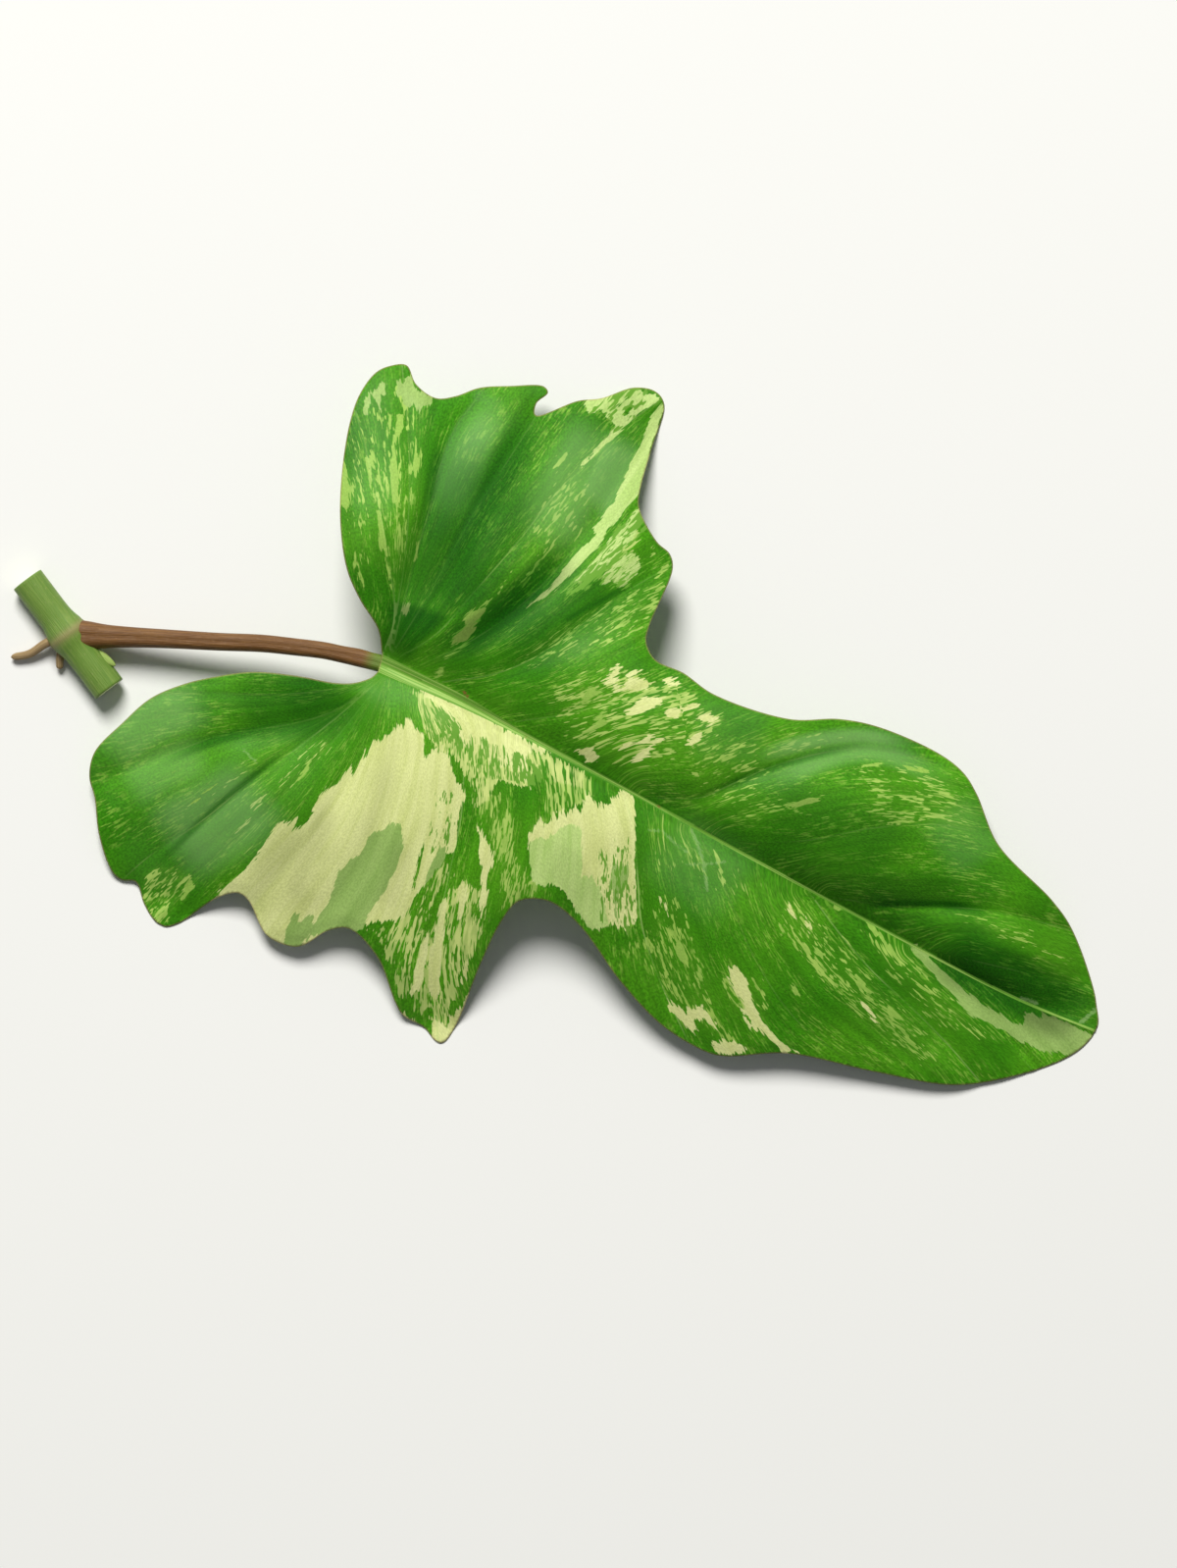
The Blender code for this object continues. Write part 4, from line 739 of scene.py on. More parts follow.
@dataclass(frozen=True)
class LeafForm:
    """The blade's form over its plan, in millimetres."""

    fold_reach: float = 85.0
    fold_end: Pair = (205.0, 246.0)
    curve_step: float = 4.0
    crease_start_loss: float = 0.75
    crease_start: float = 0.22
    crease_end_loss: float = 0.45
    keel: float = 0.8
    keel_thinning: float = 0.6
    keel_half_width: float = 1.8
    midrib_half_width: Pair = (2.7, 0.8)
    midrib_depth: Pair = (4.4, 0.5)
    midrib_crown: float = 0.5
    solid_thickness: float = 0.9
    floor_blend: float = 1.5
    skin_thickness: float = 0.6
    rim_thickness: float = 0.34
    rim_width: float = 4.0
    pucker: float = 0.1
    pucker_waves: int = 14
    pucker_lengths: Pair = (11.0, 26.0)
    pucker_start: float = 9.0
    seed: int = 11

    def sheet(self, points: np.ndarray) -> np.ndarray:
        """The smooth sheet through SHEET_HEIGHTS, a thin-plate spline.

        Args:
            points: Places of the plan.

        Returns:
            The sheet's height at each.
        """
        known = np.array(SHEET_HEIGHTS)

        def pull(places: np.ndarray) -> np.ndarray:
            """The spline's pull from each known height, with the plane's three terms.

            Args:
                places: Places of the plan.

            Returns:
                One row for each place.
            """
            gap = np.hypot(places[:, None, 0] - known[None, :, 0], places[:, None, 1] - known[None, :, 1])
            safe = np.maximum(gap, TINY)
            return np.column_stack([safe**2 * np.log(safe), np.ones(len(places)), places])

        count = len(known)
        system = np.zeros((count + 3, count + 3))
        system[:count] = pull(known[:, :2])
        system[count:, :count] = system[:count, count:].T
        weights = np.linalg.solve(system, np.concatenate([known[:, 2], np.zeros(3)]))
        return pull(points) @ weights

    def fold(self, fold: Fold, points: np.ndarray, from_midrib: np.ndarray) -> np.ndarray:
        """How far one side of the blade rises from the midrib.

        Args:
            fold: That side's rises and widths.
            points: Places of the plan.
            from_midrib: Their distances to the midrib.

        Returns:
            The rise at each.
        """
        share = np.clip(points[:, 0] / self.fold_end[0], 0.0, 1.0)
        rise = np.interp(share, (0.0, 1.0), fold.rises)
        width = np.interp(share, (0.0, 1.0), fold.widths)
        end = smooth_share((self.fold_end[1] - points[:, 0]) / (self.fold_end[1] - self.fold_end[0]))
        fade = np.exp(-((from_midrib / self.fold_reach) ** 2))
        return end * rise * (1 - np.exp(-from_midrib / width)) * fade

    def crease(self, rib: SideRib, gap: np.ndarray, place: np.ndarray) -> np.ndarray:
        """How deep the crease above a rib is.

        Args:
            rib: The side rib.
            gap: Distances to it.
            place: How far along it, from 0 to 1.

        Returns:
            The depth at each point.
        """
        rounded = np.sqrt(gap**2 + rib.softness**2) - rib.softness
        strength = 1.0 - self.crease_start_loss * np.exp(-((place / self.crease_start) ** 2))
        strength *= 1.0 - self.crease_end_loss * place**3
        return rib.depth * strength * np.exp(-rounded / rib.width)

    def above_floor(self, height: np.ndarray) -> np.ndarray:
        """Presses what would lie below the surface flat onto it, with a short blend.

        Args:
            height: Heights of the blade's lower face.

        Returns:
            The new heights.
        """
        blended = (height + self.floor_blend) ** 2 / (4 * self.floor_blend)
        pressed = np.where(height < -self.floor_blend, 0.0, blended)
        return np.where(height > self.floor_blend, height, pressed)

    def puckers(self, points: np.ndarray) -> np.ndarray:
        """The gentle unevenness of a grown blade.

        Args:
            points: Places of the plan.

        Returns:
            How far each is raised, above 0.
        """
        rng = np.random.default_rng(self.seed)
        total = np.zeros(len(points))
        for _ in range(self.pucker_waves):
            turn, phase = rng.uniform(0.0, 2 * math.pi, 2)
            length = rng.uniform(*self.pucker_lengths)
            along = points @ np.array([math.cos(turn), math.sin(turn)])
            total += np.sin(2 * math.pi * along / length + phase)
        return self.pucker * (1.0 + np.clip(total / math.sqrt(2 * self.pucker_waves), -1.0, 1.0))

    def faces(self, points: np.ndarray, edge: np.ndarray) -> tuple[np.ndarray, np.ndarray]:
        """Heights of the blade's two faces.

        Args:
            points: Places of the plan.
            edge: Their distances to the leaf's edge.

        Returns:
            (upper, lower) heights in millimetres.
        """
        midrib = smooth_curve(MIDRIB, self.curve_step)
        from_midrib, place = distance_to(midrib, points)
        upper_side = points[:, 1] > np.interp(points[:, 0], midrib[:, 0], midrib[:, 1])
        folds = [self.fold(fold, points, from_midrib) for fold in (UPPER_FOLD, LOWER_FOLD)]
        top = self.sheet(points) + np.where(upper_side, *folds)
        keel = np.zeros(len(points))
        for rib in UPPER_RIBS + LOWER_RIBS:
            gap, along = distance_to(smooth_curve(rib.route, self.curve_step), points)
            top -= self.crease(rib, gap, along)
            ridge = np.clip(1 - gap / self.keel_half_width, 0.0, 1.0)
            keel = np.maximum(keel, self.keel * (1 - self.keel_thinning * along) * ridge)
        half_width = np.interp(place, (0.0, 1.0), self.midrib_half_width)
        round_part = np.sqrt(np.clip(1 - (from_midrib / half_width) ** 2, 0.0, 1.0))
        crown = self.midrib_crown * round_part * (1 - place)
        keel = np.maximum(keel, np.interp(place, (0.0, 1.0), self.midrib_depth) * round_part)
        lower = self.above_floor(top + crown - self.solid_thickness - keel)
        inward = smooth_share(edge / self.rim_width)
        raised = self.puckers(points) * inward * smooth_share(from_midrib / self.pucker_start)
        skin = self.rim_thickness + (self.skin_thickness - self.rim_thickness) * inward
        return lower + keel + raised + skin, lower + raised


@dataclass(frozen=True)
class FlowField:
    """How the fine veins run over one side of the blade: between its side ribs, from the midrib outwards."""

    ribs: Sequence[SideRib]
    outward: float
    start: float
    step: float = 3.0
    extend_out: float = 14.0
    extend_in: float = 4.0
    end_spacing: float = 15.0
    end_count: int = 5

    def lines(self) -> list[np.ndarray]:
        """The ribs as even lines, drawn out to the midrib and past the leaf's edge."""
        found = []
        for rib in self.ribs:
            line = even_curve(rib.route, self.step)
            first = (line[0] - line[1]) / np.linalg.norm(line[0] - line[1])
            last = (line[-1] - line[-2]) / np.linalg.norm(line[-1] - line[-2])
            ends = (line[0] + self.extend_in * first, line[-1] + self.extend_out * last)
            found.append(even_curve(np.vstack([ends[0], line, ends[1]]), self.step))
        return found

    def measure(self, points: np.ndarray) -> Fields:
        """Where the points lie among the veins.

        Args:
            points: Places of the plan on this side of the midrib.

        Returns:
            flow: (across the veins, along them, 0) in millimetres; direction: the veins' direction;
            gap: distance to the nearest rib, line: how much that rib's pale line shows.
        """
        lines = self.lines()
        count = len(lines)
        gaps, signed, along = np.empty((3, count, len(points)))
        headings = np.empty((count, len(points), 2))
        for index, line in enumerate(lines):
            gap, place = distance_to(line, points)
            steps = place * (len(line) - 1)
            tangent = np.gradient(line, axis=0)
            numbers = np.arange(len(line))
            heading = np.column_stack([np.interp(steps, numbers, column) for column in tangent.T])
            heading /= np.linalg.norm(heading, axis=1)[:, None]
            nearest = np.column_stack([np.interp(steps, numbers, column) for column in line.T])
            away = points - nearest
            side = heading[:, 1] * away[:, 0] - heading[:, 0] * away[:, 1]
            gaps[index] = gap
            signed[index] = np.sign(side) * self.outward
            along[index] = steps * self.step
            headings[index] = heading
        everyone = np.arange(len(points))
        near = np.argmin(gaps, axis=0)
        side = np.where(signed[near, everyone] < 0, -1, 1)
        other = near + side
        known = (other >= 0) & (other < count)
        other = np.clip(other, 0, count - 1)
        near_gap = gaps[near, everyone]
        other_gap = np.where(known, gaps[other, everyone], self.end_spacing + near_gap)
        share = near_gap / np.where(known, np.maximum(near_gap + other_gap, CLOSE), self.end_spacing)
        order = np.arange(-self.end_count, count + self.end_count)
        spacing = [self.end_spacing] * self.end_count
        for line, following in zip(lines[:-1], lines[1:]):
            spacing.append(float(np.mean(distance_to(following, line[len(line) // 3:])[0])))
        spacing += [self.end_spacing] * self.end_count
        sums = self.start + np.concatenate([[0.0], np.cumsum(spacing)])
        across = np.interp(near + side * share, order, sums)
        blend = np.where(known, share, 0.0)
        lengthwise = (1 - blend) * along[near, everyone] + blend * along[other, everyone]
        direction = headings[near, everyone] * (1 - blend)[:, None]
        direction += headings[other, everyone] * blend[:, None]
        direction /= np.linalg.norm(direction, axis=1)[:, None]
        strengths = np.array([rib.line for rib in self.ribs])
        return {
            "flow": np.column_stack([across, lengthwise, np.zeros(len(points))]),
            "direction": direction,
            "gap": near_gap,
            "line": strengths[near],
        }


@dataclass(frozen=True)
class LeafMarkings:
    """Lays the markings onto the blade's points as smooth fields, which the skin cuts off sharply, and the
    painted shade and painted highlights as soft ones.
    """

    reach: float = 8.0
    vein_stretch: float = 3.0
    outline_step: float = 0.65
    scratch_reach: float = 4.0
    shade_step: float = 2.0
    taper: float = 0.35
    taper_start: float = 0.2
    rows_at_once: int = 4000

    def raise_patch(self, outline: Pixels, points: np.ndarray, heads: np.ndarray, field: np.ndarray) -> None:
        """Raises a field to the signed distance from a patch's outline, measured longer across the veins.

        Args:
            outline: The patch's outline.
            points: Places of the plan.
            heads: The veins' direction at each.
            field: The field of the patch's tone, which is changed.
        """
        corners = PHOTO.to_plan(outline)
        border = even_line(np.vstack([corners, corners[:1]]), self.outline_step)
        low, high = corners.min(axis=0) - self.reach, corners.max(axis=0) + self.reach
        chosen = np.flatnonzero(np.all((points > low) & (points < high), axis=1))
        within = inside(corners, points[chosen])
        for part in np.array_split(np.arange(len(chosen)), max(1, len(chosen) // self.rows_at_once)):
            rows = chosen[part]
            away = points[rows, None, :] - border[None, :, :]
            head = heads[rows]
            along = away[:, :, 0] * head[:, None, 0] + away[:, :, 1] * head[:, None, 1]
            across = away[:, :, 0] * head[:, None, 1] - away[:, :, 1] * head[:, None, 0]
            gap = np.sqrt(np.min(along**2 + (self.vein_stretch * across) ** 2, axis=1))
            signed = np.where(within[part], gap, -gap)
            field[rows] = np.maximum(field[rows], signed)

    def raise_zone(self, fleck: Fleck, zone: Zone, points: np.ndarray, fields: Fields) -> None:
        """Raises the cover of a zone's flecks, and sets how pale its streaks are where it leads.

        Args:
            fleck: What the zone is made of.
            zone: The zone.
            points: Places of the plan.
            fields: The fields, which are changed.
        """
        corners = PHOTO.to_plan(zone.outline)
        low, high = corners.min(axis=0), corners.max(axis=0)
        chosen = np.flatnonzero(np.all((points > low) & (points < high), axis=1))
        chosen = chosen[inside(corners, points[chosen])]
        gap, _ = distance_to(np.vstack([corners, corners[:1]]), points[chosen])
        cover = zone.cover * smooth_share(gap / zone.fade)
        leads = cover > fields[fleck.value][chosen]
        fields[fleck.value][chosen[leads]] = cover[leads]
        if fleck is Fleck.STREAKS:
            fields["paleness"][chosen[leads]] = zone.paleness

    def fields(self, points: np.ndarray, direction: np.ndarray) -> Fields:
        """All markings' fields.

        Args:
            points: Places of the plan.
            direction: The veins' direction at each.

        Returns:
            One array for each tone and fleck, for how pale flecks are, for painted shade and painted
            highlights, and for scuffs and scars.
        """
        found = {tone.value: np.full(len(points), -self.reach) for tone in Tone}
        for tone, outlines in PATCHES.items():
            for outline in outlines:
                self.raise_patch(outline, points, direction, found[tone.value])
        found["paleness"] = np.zeros(len(points))
        for fleck, zones in ZONES.items():
            found[fleck.value] = np.zeros(len(points))
            for zone in zones:
                self.raise_zone(fleck, zone, points, found)
        # Painted shade in hollows and painted highlights on crests, each a soft strength along its route,
        # tapered at both ends
        for name, shades in (("shade", PAINTED_SHADES), ("painted_sheen", PAINTED_SHEENS)):
            found[name] = np.zeros(len(points))
            for shade in shades:
                gap, place = distance_to(smooth_curve(PHOTO.to_plan(shade.route), self.shade_step), points)
                taper = smooth_share(self.taper_start + np.minimum(place, 1.0 - place) / self.taper)
                value = shade.strength * taper * smooth_share(1.0 - (gap - shade.half_width) / shade.fade)
                found[name] = np.maximum(found[name], value)
        for name in ("scuff", "scar"):
            found[name] = np.full(len(points), -self.scratch_reach)
        for scratch in SCRATCHES:
            gap, _ = distance_to(PHOTO.to_plan(scratch.route), points)
            name = "scar" if scratch.scar else "scuff"
            found[name] = np.maximum(found[name], np.maximum(scratch.half_width - gap, -self.scratch_reach))
        return found


@dataclass
class MeshParts:
    """A mesh in millimetres of the leaf's plan, with one value or vector for each point in each field."""

    points: np.ndarray
    faces: Faces
    fields: Fields

    def press(self) -> None:
        """Presses what would lie below the surface flat onto it."""
        self.points[:, 2] = np.maximum(self.points[:, 2], 0.0)

    def make(self, name: str, material: bpy.types.Material, node: str, slot: str) -> bpy.types.Object:
        """Makes the piece, puts it under the body's empty and hides the solid that it stands for.

        Args:
            name: The piece's name.
            material: Its material.
            node: The solid that it replaces.
            slot: The slot of its finish; not used.

        Returns:
            The piece.
        """
        low, high = (np.array(corner) for corner in SOLIDS_BOX)
        placed = (self.points - np.array([*PLAN_CENTRE, 0.0])) * MM
        mesh = bpy.data.meshes.new(name)
        mesh.from_pydata(np.clip(placed, low, high).tolist(), [], self.faces)
        for field, values in self.fields.items():
            kind, key = ("FLOAT_VECTOR", "vector") if values.ndim == 2 else ("FLOAT", "value")
            attribute = mesh.attributes.new(field, kind, "POINT")
            attribute.data.foreach_set(key, values.astype(np.float32).ravel())
        mesh.shade_smooth()
        mesh.materials.append(material)
        mesh.update()
        piece = bpy.data.objects.new(name, mesh)
        bpy.context.scene.collection.objects.link(piece)
        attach(piece, BODY)
        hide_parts(node)
        LOG.info("%s: %d points, %d faces", name, len(self.points), len(self.faces))
        return piece


@dataclass(frozen=True)
class Weave:
    """Noise among the veins: its cells' size across and along them in mm, its shift and its layers."""

    across: float
    along: float
    shift: float = 0.0
    detail: float = 1.0
    roughness: float = 0.5


class Graph:
    """Builds a material's node tree from short calls."""

    SCALE_INPUT = 3
    MIX_COLOURS = (6, 7)
    MIX_RESULT = 2

    def __init__(self, name: str) -> None:
        """Starts a material with its own surface shader.

        Args:
            name: The material's name.
        """
        self.material = bpy.data.materials.new(name)
        self.material.use_nodes = True
        self.nodes = self.material.node_tree.nodes
        self.links = self.material.node_tree.links
        self.shader = self.nodes["Principled BSDF"]

    def feed(self, socket: Socket, value: Feed) -> None:
        """Links a socket to another, or sets its constant."""
        if isinstance(value, bpy.types.NodeSocket):
            self.links.new(value, socket)
        else:
            socket.default_value = value

    def surface(self, **settings: Feed) -> None:
        """Sets the shader's inputs, named with _ for a space."""
        for name, value in settings.items():
            self.feed(self.shader.inputs[name.replace("_", " ")], value)

    def field(self, name: str, output: str = "Fac") -> Socket:
        """One value or vector of each point.

        Args:
            name: The field's name.
            output: "Fac" for a value, "Vector" for a vector.

        Returns:
            The value or vector.
        """
        node = self.nodes.new("ShaderNodeAttribute")
        node.attribute_name = name
        return node.outputs[output]

    def vector_field(self, name: str) -> Socket:
        """One vector of each point."""
        return self.field(name, "Vector")

    def place(self) -> Socket:
        """The place on the piece, in metres."""
        return self.nodes.new("ShaderNodeTexCoord").outputs["Object"]

    def part(self, vector: Socket, axis: str) -> Socket:
        """One coordinate of a vector.

        Args:
            vector: The vector.
            axis: X, Y or Z.

        Returns:
            The coordinate.
        """
        node = self.nodes.new("ShaderNodeSeparateXYZ")
        self.feed(node.inputs[0], vector)
        return node.outputs[axis]

    def math(self, operation: str, *values: Feed) -> Socket:
        """A sum, product or other function of numbers.

        Args:
            operation: The function's name.
            values: What it takes.

        Returns:
            The result.
        """
        node = self.nodes.new("ShaderNodeMath")
        node.operation = operation
        for socket, value in zip(node.inputs, values):
            self.feed(socket, value)
        return node.outputs[0]

    def add(self, first: Feed, second: Feed) -> Socket:
        """A sum."""
        return self.math("ADD", first, second)

    def times(self, first: Feed, second: Feed) -> Socket:
        """A product."""
        return self.math("MULTIPLY", first, second)

    def vector_math(self, operation: str, inputs: dict[int, Feed]) -> Socket:
        """A function of vectors.

        Args:
            operation: The function's name.
            inputs: What it takes, by the inputs' numbers.

        Returns:
            The result.
        """
        node = self.nodes.new("ShaderNodeVectorMath")
        node.operation = operation
        for number, value in inputs.items():
            self.feed(node.inputs[number], value)
        return node.outputs[0]

    def stretch(self, vector: Socket, scale: Triple, shift: float = 0.0) -> Socket:
        """A place scaled and shifted, for a texture."""
        return self.vector_math("MULTIPLY_ADD", {0: vector, 1: scale, 2: (shift, shift, shift)})

    def noise(self, place: Socket, detail: float = 2.0, roughness: float = 0.5) -> Socket:
        """Smooth noise around 0.5.

        Args:
            place: Where it is read, in the noise's own cells.
            detail: How many finer layers it has.
            roughness: How strong they are.

        Returns:
            The noise's value.
        """
        node = self.nodes.new("ShaderNodeTexNoise")
        self.feed(node.inputs["Vector"], place)
        self.feed(node.inputs["Scale"], 1.0)
        self.feed(node.inputs["Detail"], detail)
        self.feed(node.inputs["Roughness"], roughness)
        return node.outputs["Fac"]

    def weave(self, flow: Socket, weave: Weave) -> Socket:
        """Smooth noise whose cells lie along the veins."""
        place = self.stretch(flow, (1 / weave.across, 1 / weave.along, 1.0), weave.shift)
        return self.noise(place, weave.detail, weave.roughness)

    def step(self, value: Feed, start: float, end: float, low: float = 0.0, high: float = 1.0) -> Socket:
        """A smooth step between two values.

        Args:
            value: What is compared.
            start: Where the step starts.
            end: Where it ends.
            low: The result before it.
            high: The result after it.

        Returns:
            The step.
        """
        node = self.nodes.new("ShaderNodeMapRange")
        node.interpolation_type = "SMOOTHSTEP"
        for socket, number in zip(node.inputs, (value, start, end, low, high)):
            self.feed(socket, number)
        return node.outputs[0]

    def mix(self, share: Feed, first: Feed, second: Feed) -> Socket:
        """A mix of two colours.

        Args:
            share: How much of the second there is.
            first: The first colour.
            second: The second colour.

        Returns:
            The mixed colour.
        """
        node = self.nodes.new("ShaderNodeMix")
        node.data_type = "RGBA"
        node.clamp_factor = True
        self.feed(node.inputs[0], share)
        for number, colour in zip(self.MIX_COLOURS, (first, second)):
            whole = colour if isinstance(colour, bpy.types.NodeSocket) else (*colour, 1.0)
            self.feed(node.inputs[number], whole)
        return node.outputs[self.MIX_RESULT]

    def shade(self, colour: Socket, factor: Feed) -> Socket:
        """A colour made lighter or darker."""
        return self.vector_math("SCALE", {0: colour, self.SCALE_INPUT: factor})

    def tint(self, colour: Socket, factors: Colour) -> Socket:
        """A colour with each of its parts scaled."""
        return self.vector_math("MULTIPLY", {0: colour, 1: factors})

    def bump(self, height: Socket, distance: float, before: Feed | None = None) -> Socket:
        """A normal bent by a height.

        Args:
            height: The height, as a share of the distance.
            distance: The distance in metres.
            before: A normal that is bent already.

        Returns:
            The normal.
        """
        node = self.nodes.new("ShaderNodeBump")
        self.feed(node.inputs["Height"], height)
        self.feed(node.inputs["Distance"], distance)
        if before is not None:
            self.feed(node.inputs["Normal"], before)
        return node.outputs[0]


@dataclass(frozen=True)
class LeafSkin:
    """The blade's satin skin: green, marbled with cream, lime and grey-green along its veins, with painted
    shade in its hollows and painted highlights on its crests.
    """

    green: Colour = linear(76, 147, 20)
    deep_green: Colour = linear(54, 126, 12)
    lime: Colour = linear(146, 186, 80)
    cream: Colour = linear(220, 226, 154)
    cream_streak: Colour = linear(202, 211, 132)
    celadon: Colour = linear(154, 186, 102)
    celadon_deep: Colour = linear(138, 172, 88)
    pale: Colour = linear(188, 213, 130)
    pale_streak: Colour = linear(166, 198, 108)
    fleck: Colour = linear(148, 192, 74)
    fleck_ground: Colour = linear(90, 154, 32)
    green_grain: Colour = linear(104, 158, 52)
    pale_fleck: Colour = linear(210, 220, 136)
    midrib: Colour = linear(106, 160, 54)
    midrib_line: Colour = linear(158, 194, 96)
    rib_line: Colour = linear(176, 206, 120)
    rim: Colour = linear(170, 136, 104)
    scar: Colour = linear(132, 92, 50)
    scuff: Colour = linear(176, 208, 140)
    underside_pale: Colour = linear(160, 190, 130)
    # The colour of the painted highlights, and the tint by which painted shade scales the colour
    painted_sheen: Colour = linear(138, 186, 110)
    shade: Colour = (0.1, 0.35, 0.05)
    underside_share: float = 0.42
    gloss: float = 0.11
    roughness: Pair = (0.46, 0.7)
    # Noises among the veins
    speckle: Weave = Weave(0.5, 4.5)
    speckle_groups: Weave = Weave(7.0, 22.0, 19.0)
    striae: Weave = Weave(2.2, 60.0, 0.0, 3.0, 0.65)
    mottle: Weave = Weave(0.45, 0.8, 23.0)
    variation: Weave = Weave(1.8, 7.0, 41.0, 2.0)
    pale_streaks: Weave = Weave(3.4, 36.0, 7.0, 4.0, 0.6)
    ragged: Weave = Weave(0.8, 1.6, 5.0, 3.0, 0.7)
    # Smooth steps: start, end, and the results before and after where they aren't 0 and 1
    deep_ramp: Ramp = (0.35, 0.65)
    speckle_ramp: Ramp = (0.52, 0.64)
    group_ramp: Ramp = (0.42, 0.6)
    dark_ramp: Ramp = (0.3, 0.45, 0.4, 0.0)
    striae_ramp: Ramp = (0.3, 0.7, 0.84, 1.12)
    mottle_ramp: Ramp = (0.3, 0.7, 0.78, 1.22)
    pale_mottle_ramp: Ramp = (0.3, 0.7, 0.9, 1.1)
    variation_ramp: Ramp = (0.35, 0.6, 0.65, 1.0)
    ground_ramp: Ramp = (0.2, 0.8, 0.65, 0.1)
    pale_streak_ramp: Ramp = (0.35, 0.7)
    # How far painted shade darkens the pale tones
    pale_painted_shade_ramp: Ramp = (0.0, 1.0, 1.0, 0.45)
    fleck_ramp: Ramp = (0.485, 0.52)
    cover_ramp: Ramp = (0.01, 0.08)
    rib_patch_ramp: Ramp = (0.4, 0.62, 0.08, 0.6)
    rib_line_ramp: Ramp = (0.08, 0.34, 1.0, 0.0)
    stripe_ramp: Ramp = (0.45, 0.6)
    band_ramp: Ramp = (-0.1, 0.15)
    scuff_ramp: Ramp = (-0.1, 0.5)
    scar_ramp: Ramp = (-0.1, 0.4)
    rim_ramp: Ramp = (0.2, 0.5, 0.4, 0.0)
    # How far a tone's edge runs out in teeth, for each tone how much and from where, and each tone's shift
    teeth: tuple[tuple[Pair, float], ...] = (((1.7, 16.0), 4.0), ((0.6, 3.6), 3.6))
    edges: tuple[Pair, ...] = ((0.7, 0.6), (0.8, 0.25), (0.65, 0.0), (0.5, 0.0), (0.6, 0.0))
    tone_shifts: tuple[float, ...] = (11.0, 20.0, 29.0, 38.0, 47.0)
    edge_softness: float = 0.3
    # The layers of a mottled zone's flecks, and each kind's shift
    weights: tuple[float, ...] = (0.27, 0.39, 0.34)
    streaks: tuple[Pair, ...] = ((3.4, 16.0), (0.95, 6.6), (0.42, 2.4))
    grains: tuple[Pair, ...] = ((2.4, 9.0), (0.9, 4.2), (0.42, 2.0))
    fleck_shifts: Pair = (3.1, 29.7)
    cover_middle: float = 0.47
    cover_gain: float = 0.42
    speckle_share: float = 0.5
    scuff_share: float = 0.3
    scar_share: float = 0.8
    scratch_spread: float = 2.4
    # Textures' scales, by place in metres or along the midrib in millimetres, and bumps' heights in metres
    broad_scale: Triple = (28.0, 28.0, 0.0)
    grain_scale: Triple = (900.0, 900.0, 900.0)
    rib_patch_scale: Triple = (0.05, 0.06, 0.0)
    rib_patch_shift: float = 3.0
    stripe_scale: Triple = (1.9, 0.02, 0.0)
    striae_height: float = 0.00006
    grain_height: float = 0.00004

    def tone_mask(self, graph: Graph, tone: Tone, flow: Socket) -> Socket:
        """Where a tone shows: its field, with an edge that runs out in teeth along the veins.

        Args:
            graph: The material's graph.
            tone: The tone.
            flow: The place among the veins.

        Returns:
            A share from 0 to 1.
        """
        number = list(Tone).index(tone)
        share, edge = self.edges[number]
        field = graph.field(tone.value)
        for (across, along), reach in self.teeth:
            teeth = graph.weave(flow, Weave(across, along, self.tone_shifts[number]))
            field = graph.add(field, graph.times(graph.add(teeth, -0.5), 2 * reach * share))
        return graph.step(field, edge - self.edge_softness, edge + self.edge_softness)

    def fleck_mask(self, graph: Graph, fleck: Fleck, flow: Socket) -> Socket:
        """Where a mottled zone's flecks show.

        Args:
            graph: The material's graph.
            fleck: What the zone is made of.
            flow: The place among the veins.

        Returns:
            A share from 0 to 1.
        """
        number = list(Fleck).index(fleck)
        cover = graph.field(fleck.value)
        raised = graph.times(graph.add(cover, -self.cover_middle), self.cover_gain)
        for (across, along), weight in zip((self.streaks, self.grains)[number], self.weights):
            noise = graph.weave(flow, Weave(across, along, self.fleck_shifts[number], 0.0))
            raised = graph.add(raised, graph.times(noise, weight))
        return graph.times(graph.step(raised, *self.fleck_ramp), graph.step(cover, *self.cover_ramp))

    def material(self) -> bpy.types.Material:
        """Builds the material."""
        graph = Graph("leaf_skin")
        flow = graph.vector_field("flow")
        place = graph.place()
        # The strength of the painted shade at each point
        depth = graph.field("shade")
        paleness = graph.field("paleness")
        broad = graph.noise(graph.stretch(place, self.broad_scale))
        colour = graph.mix(graph.step(broad, *self.deep_ramp), self.green, self.deep_green)
        speckle = graph.weave(flow, self.speckle)
        groups = graph.step(graph.weave(flow, self.speckle_groups), *self.group_ramp)
        speckled = graph.times(graph.step(speckle, *self.speckle_ramp), groups)
        colour = graph.mix(graph.times(speckled, self.speckle_share), colour, self.fleck)
        colour = graph.mix(graph.step(speckle, *self.dark_ramp), colour, self.deep_green)
        striae = graph.weave(flow, self.striae)
        colour = graph.shade(colour, graph.step(striae, *self.striae_ramp))
        mottle = graph.weave(flow, self.mottle)
        colour = graph.shade(colour, graph.step(mottle, *self.mottle_ramp))
        # The plain green darkened by painted shade, kept for the green islands
        plain = graph.mix(depth, colour, graph.tint(colour, self.shade))
        ground = graph.times(graph.field("streaks"), graph.step(paleness, *self.ground_ramp))
        colour = graph.mix(ground, colour, self.fleck_ground)
        strength = graph.step(graph.weave(flow, self.variation), *self.variation_ramp)
        shown = graph.times(self.fleck_mask(graph, Fleck.STREAKS, flow), strength)
        colour = graph.mix(shown, colour, graph.mix(paleness, self.fleck, self.pale_fleck))
